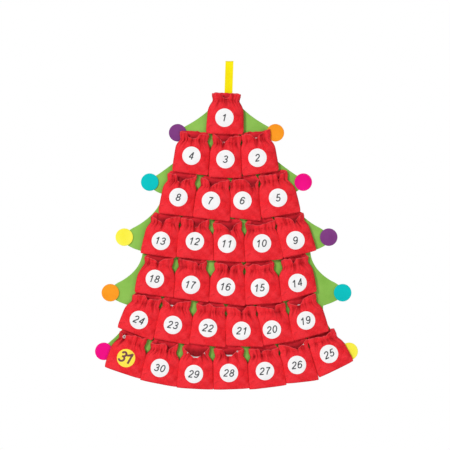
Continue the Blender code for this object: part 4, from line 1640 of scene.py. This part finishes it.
# %% Numbers
NUMBER_HEIGHT = 0.0198
BIG_HEIGHT = 0.0300
STROKE_SHARE = 0.155
BIG_STROKE_SHARE = 0.19
BIG_WIDEN = 0.94
BIG_SHIFT = (-0.0016, 0.0016)
INK_RISE_MM = 0.55


def make_number(fit):
    day = fit["day"]
    if day == BOLD_DAY:
        ink = draw_figures(str(day), BIG_FIGURES, BIG_HEIGHT, BIG_STROKE_SHARE, BIG_STEP, BIG_WIDEN)
        ink.data.transform(Matrix.Translation((BIG_SHIFT[0], 0, BIG_SHIFT[1])))
    else:
        ink = draw_figures(str(day), FIGURES, NUMBER_HEIGHT, STROKE_SHARE, FIGURE_STEP)
    ink.data.transform(Matrix.Rotation(math.radians(DISCS[day][2]) - fit["turn"], 4, "Y"))
    print_on_sack(ink, fit, "number", INK_RISE_MM, ink_plum if day == BOLD_DAY else ink_grey)


for day in DAYS:
    make_number(fits[day])
bpy.data.objects.remove(tube)
print("numbers 1 to 31, their figures", NUMBER_HEIGHT * 1000, "mm high")

# %% [markdown]
# ## Ribbon
# The loop is one ribbon, folded over and sewn at its foot. The plain loop has the right path, so a copy
# is turned into quads and smoothed by a subdivision surface, with its two edges creased so that the
# ribbon stays flat.

# %% Ribbon
TURN_RADIUS = 0.005
EDGE_STEP = 0.003  # an edge that runs less than this across the ribbon runs along it
SEWN_EDGE = 0.0004


def ribbon_uv(obj, turn_z):
    """Lays the ribbon flat: across, and along the path up, over and down."""
    spots = points_of(obj)
    corners = corners_of(obj)
    y, z = spots[:, 1], spots[:, 2]
    over = turn_z + TURN_RADIUS * (np.arctan2(y, z - turn_z) + math.pi / 2)
    down = 2 * turn_z - z + math.pi * TURN_RADIUS
    along = np.where(z > turn_z, over, np.where(y < 0, z, down))
    lay_uv(obj, spots[corners, 0], along[corners])


low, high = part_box("ribbon_loop")
ribbon = copy_piece(nodes["ribbon_loop"], "ribbon")
pick(ribbon)
with edit_mode("SELECT"):
    bpy.ops.mesh.remove_doubles(threshold=0.00001)
    bpy.ops.mesh.tris_convert_to_quads(
        face_threshold=math.radians(60), shape_threshold=math.radians(180)
    )
drop_uv(ribbon)
ribbon_creases = ribbon.data.attributes.new("crease_edge", "FLOAT", "EDGE")
for index, edge in enumerate(ribbon.data.edges):
    first, second = (ribbon.data.vertices[v].co for v in edge.vertices)
    ribbon_creases.data[index].value = 1.0 if abs(first.x - second.x) < EDGE_STEP else 0.0
smooth = ribbon.modifiers.new("smooth", "SUBSURF")
smooth.levels = smooth.render_levels = 2
apply_modifiers(ribbon)
ribbon_uv(ribbon, -TURN_RADIUS)
bpy.ops.object.shade_smooth_by_angle(angle=math.radians(40))
ribbon.data.materials.clear()
ribbon.data.materials.append(yellow_ribbon)
finish_piece(ribbon, "ribbon", "loop", "ribbon", "ribbon_loop")
print("ribbon", round((high.x - low.x) * 1000, 1), "mm over its lean,", len(ribbon.data.polygons), "faces")

# %% [markdown]
# The two ends of the ribbon are sewn to the felt behind the top sack. They lie flat on each other there,
# so one thin bevelled block stands for both. On the back of the felt their stitches form a box.

# %% Sewn ends of the ribbon
BOX_ROWS = (  # degrees turned, number of stitches, and how far off the middle in millimetres
    (0, 5, 12.4), (0, 5, -12.4), (90, 8, 7.6), (90, 8, -7.6),
)

end_low, end_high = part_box("ribbon_sewn_end")
bpy.ops.object.select_all(action="DESELECT")
bpy.ops.mesh.primitive_cube_add(size=1, location=(end_low + end_high) / 2)
sewn = bpy.context.object
sewn.scale = end_high - end_low
bpy.ops.object.transform_apply(location=True, rotation=False, scale=True)
sewn.matrix_world = Matrix.Identity(4)
round_off = sewn.modifiers.new("edge", "BEVEL")
round_off.width = SEWN_EDGE
round_off.segments = 2
apply_modifiers(sewn)
drop_uv(sewn)
ribbon_uv(sewn, 0.01)
sewn.data.materials.append(yellow_ribbon)
finish_piece(sewn, "ribbon_end", "tree", "ribbon", "ribbon_sewn_end")
box_rows = []
box_middle = (end_low + end_high) / 2
box_place = Matrix.Translation((box_middle.x, felt_high.y + THREAD_OUT, box_middle.z))
for turned, count, offset in BOX_ROWS:
    row = stitch_row("box", count)
    away = (offset * MM, 0, 0) if turned else (0, 0, offset * MM)
    place = Matrix.Translation(away) @ Matrix.Rotation(math.radians(turned), 4, "Y")
    settle(row, box_place @ place)
    box_rows.append(row)
ribbon_stitches = join_pieces(box_rows)
ribbon_stitches.data.materials.append(yellow_thread)
finish_piece(ribbon_stitches, "ribbon_stitches", "tree", "ribbon")
bpy.data.objects.remove(stitch)
print("box of stitches with", len(ribbon_stitches.data.polygons), "faces")
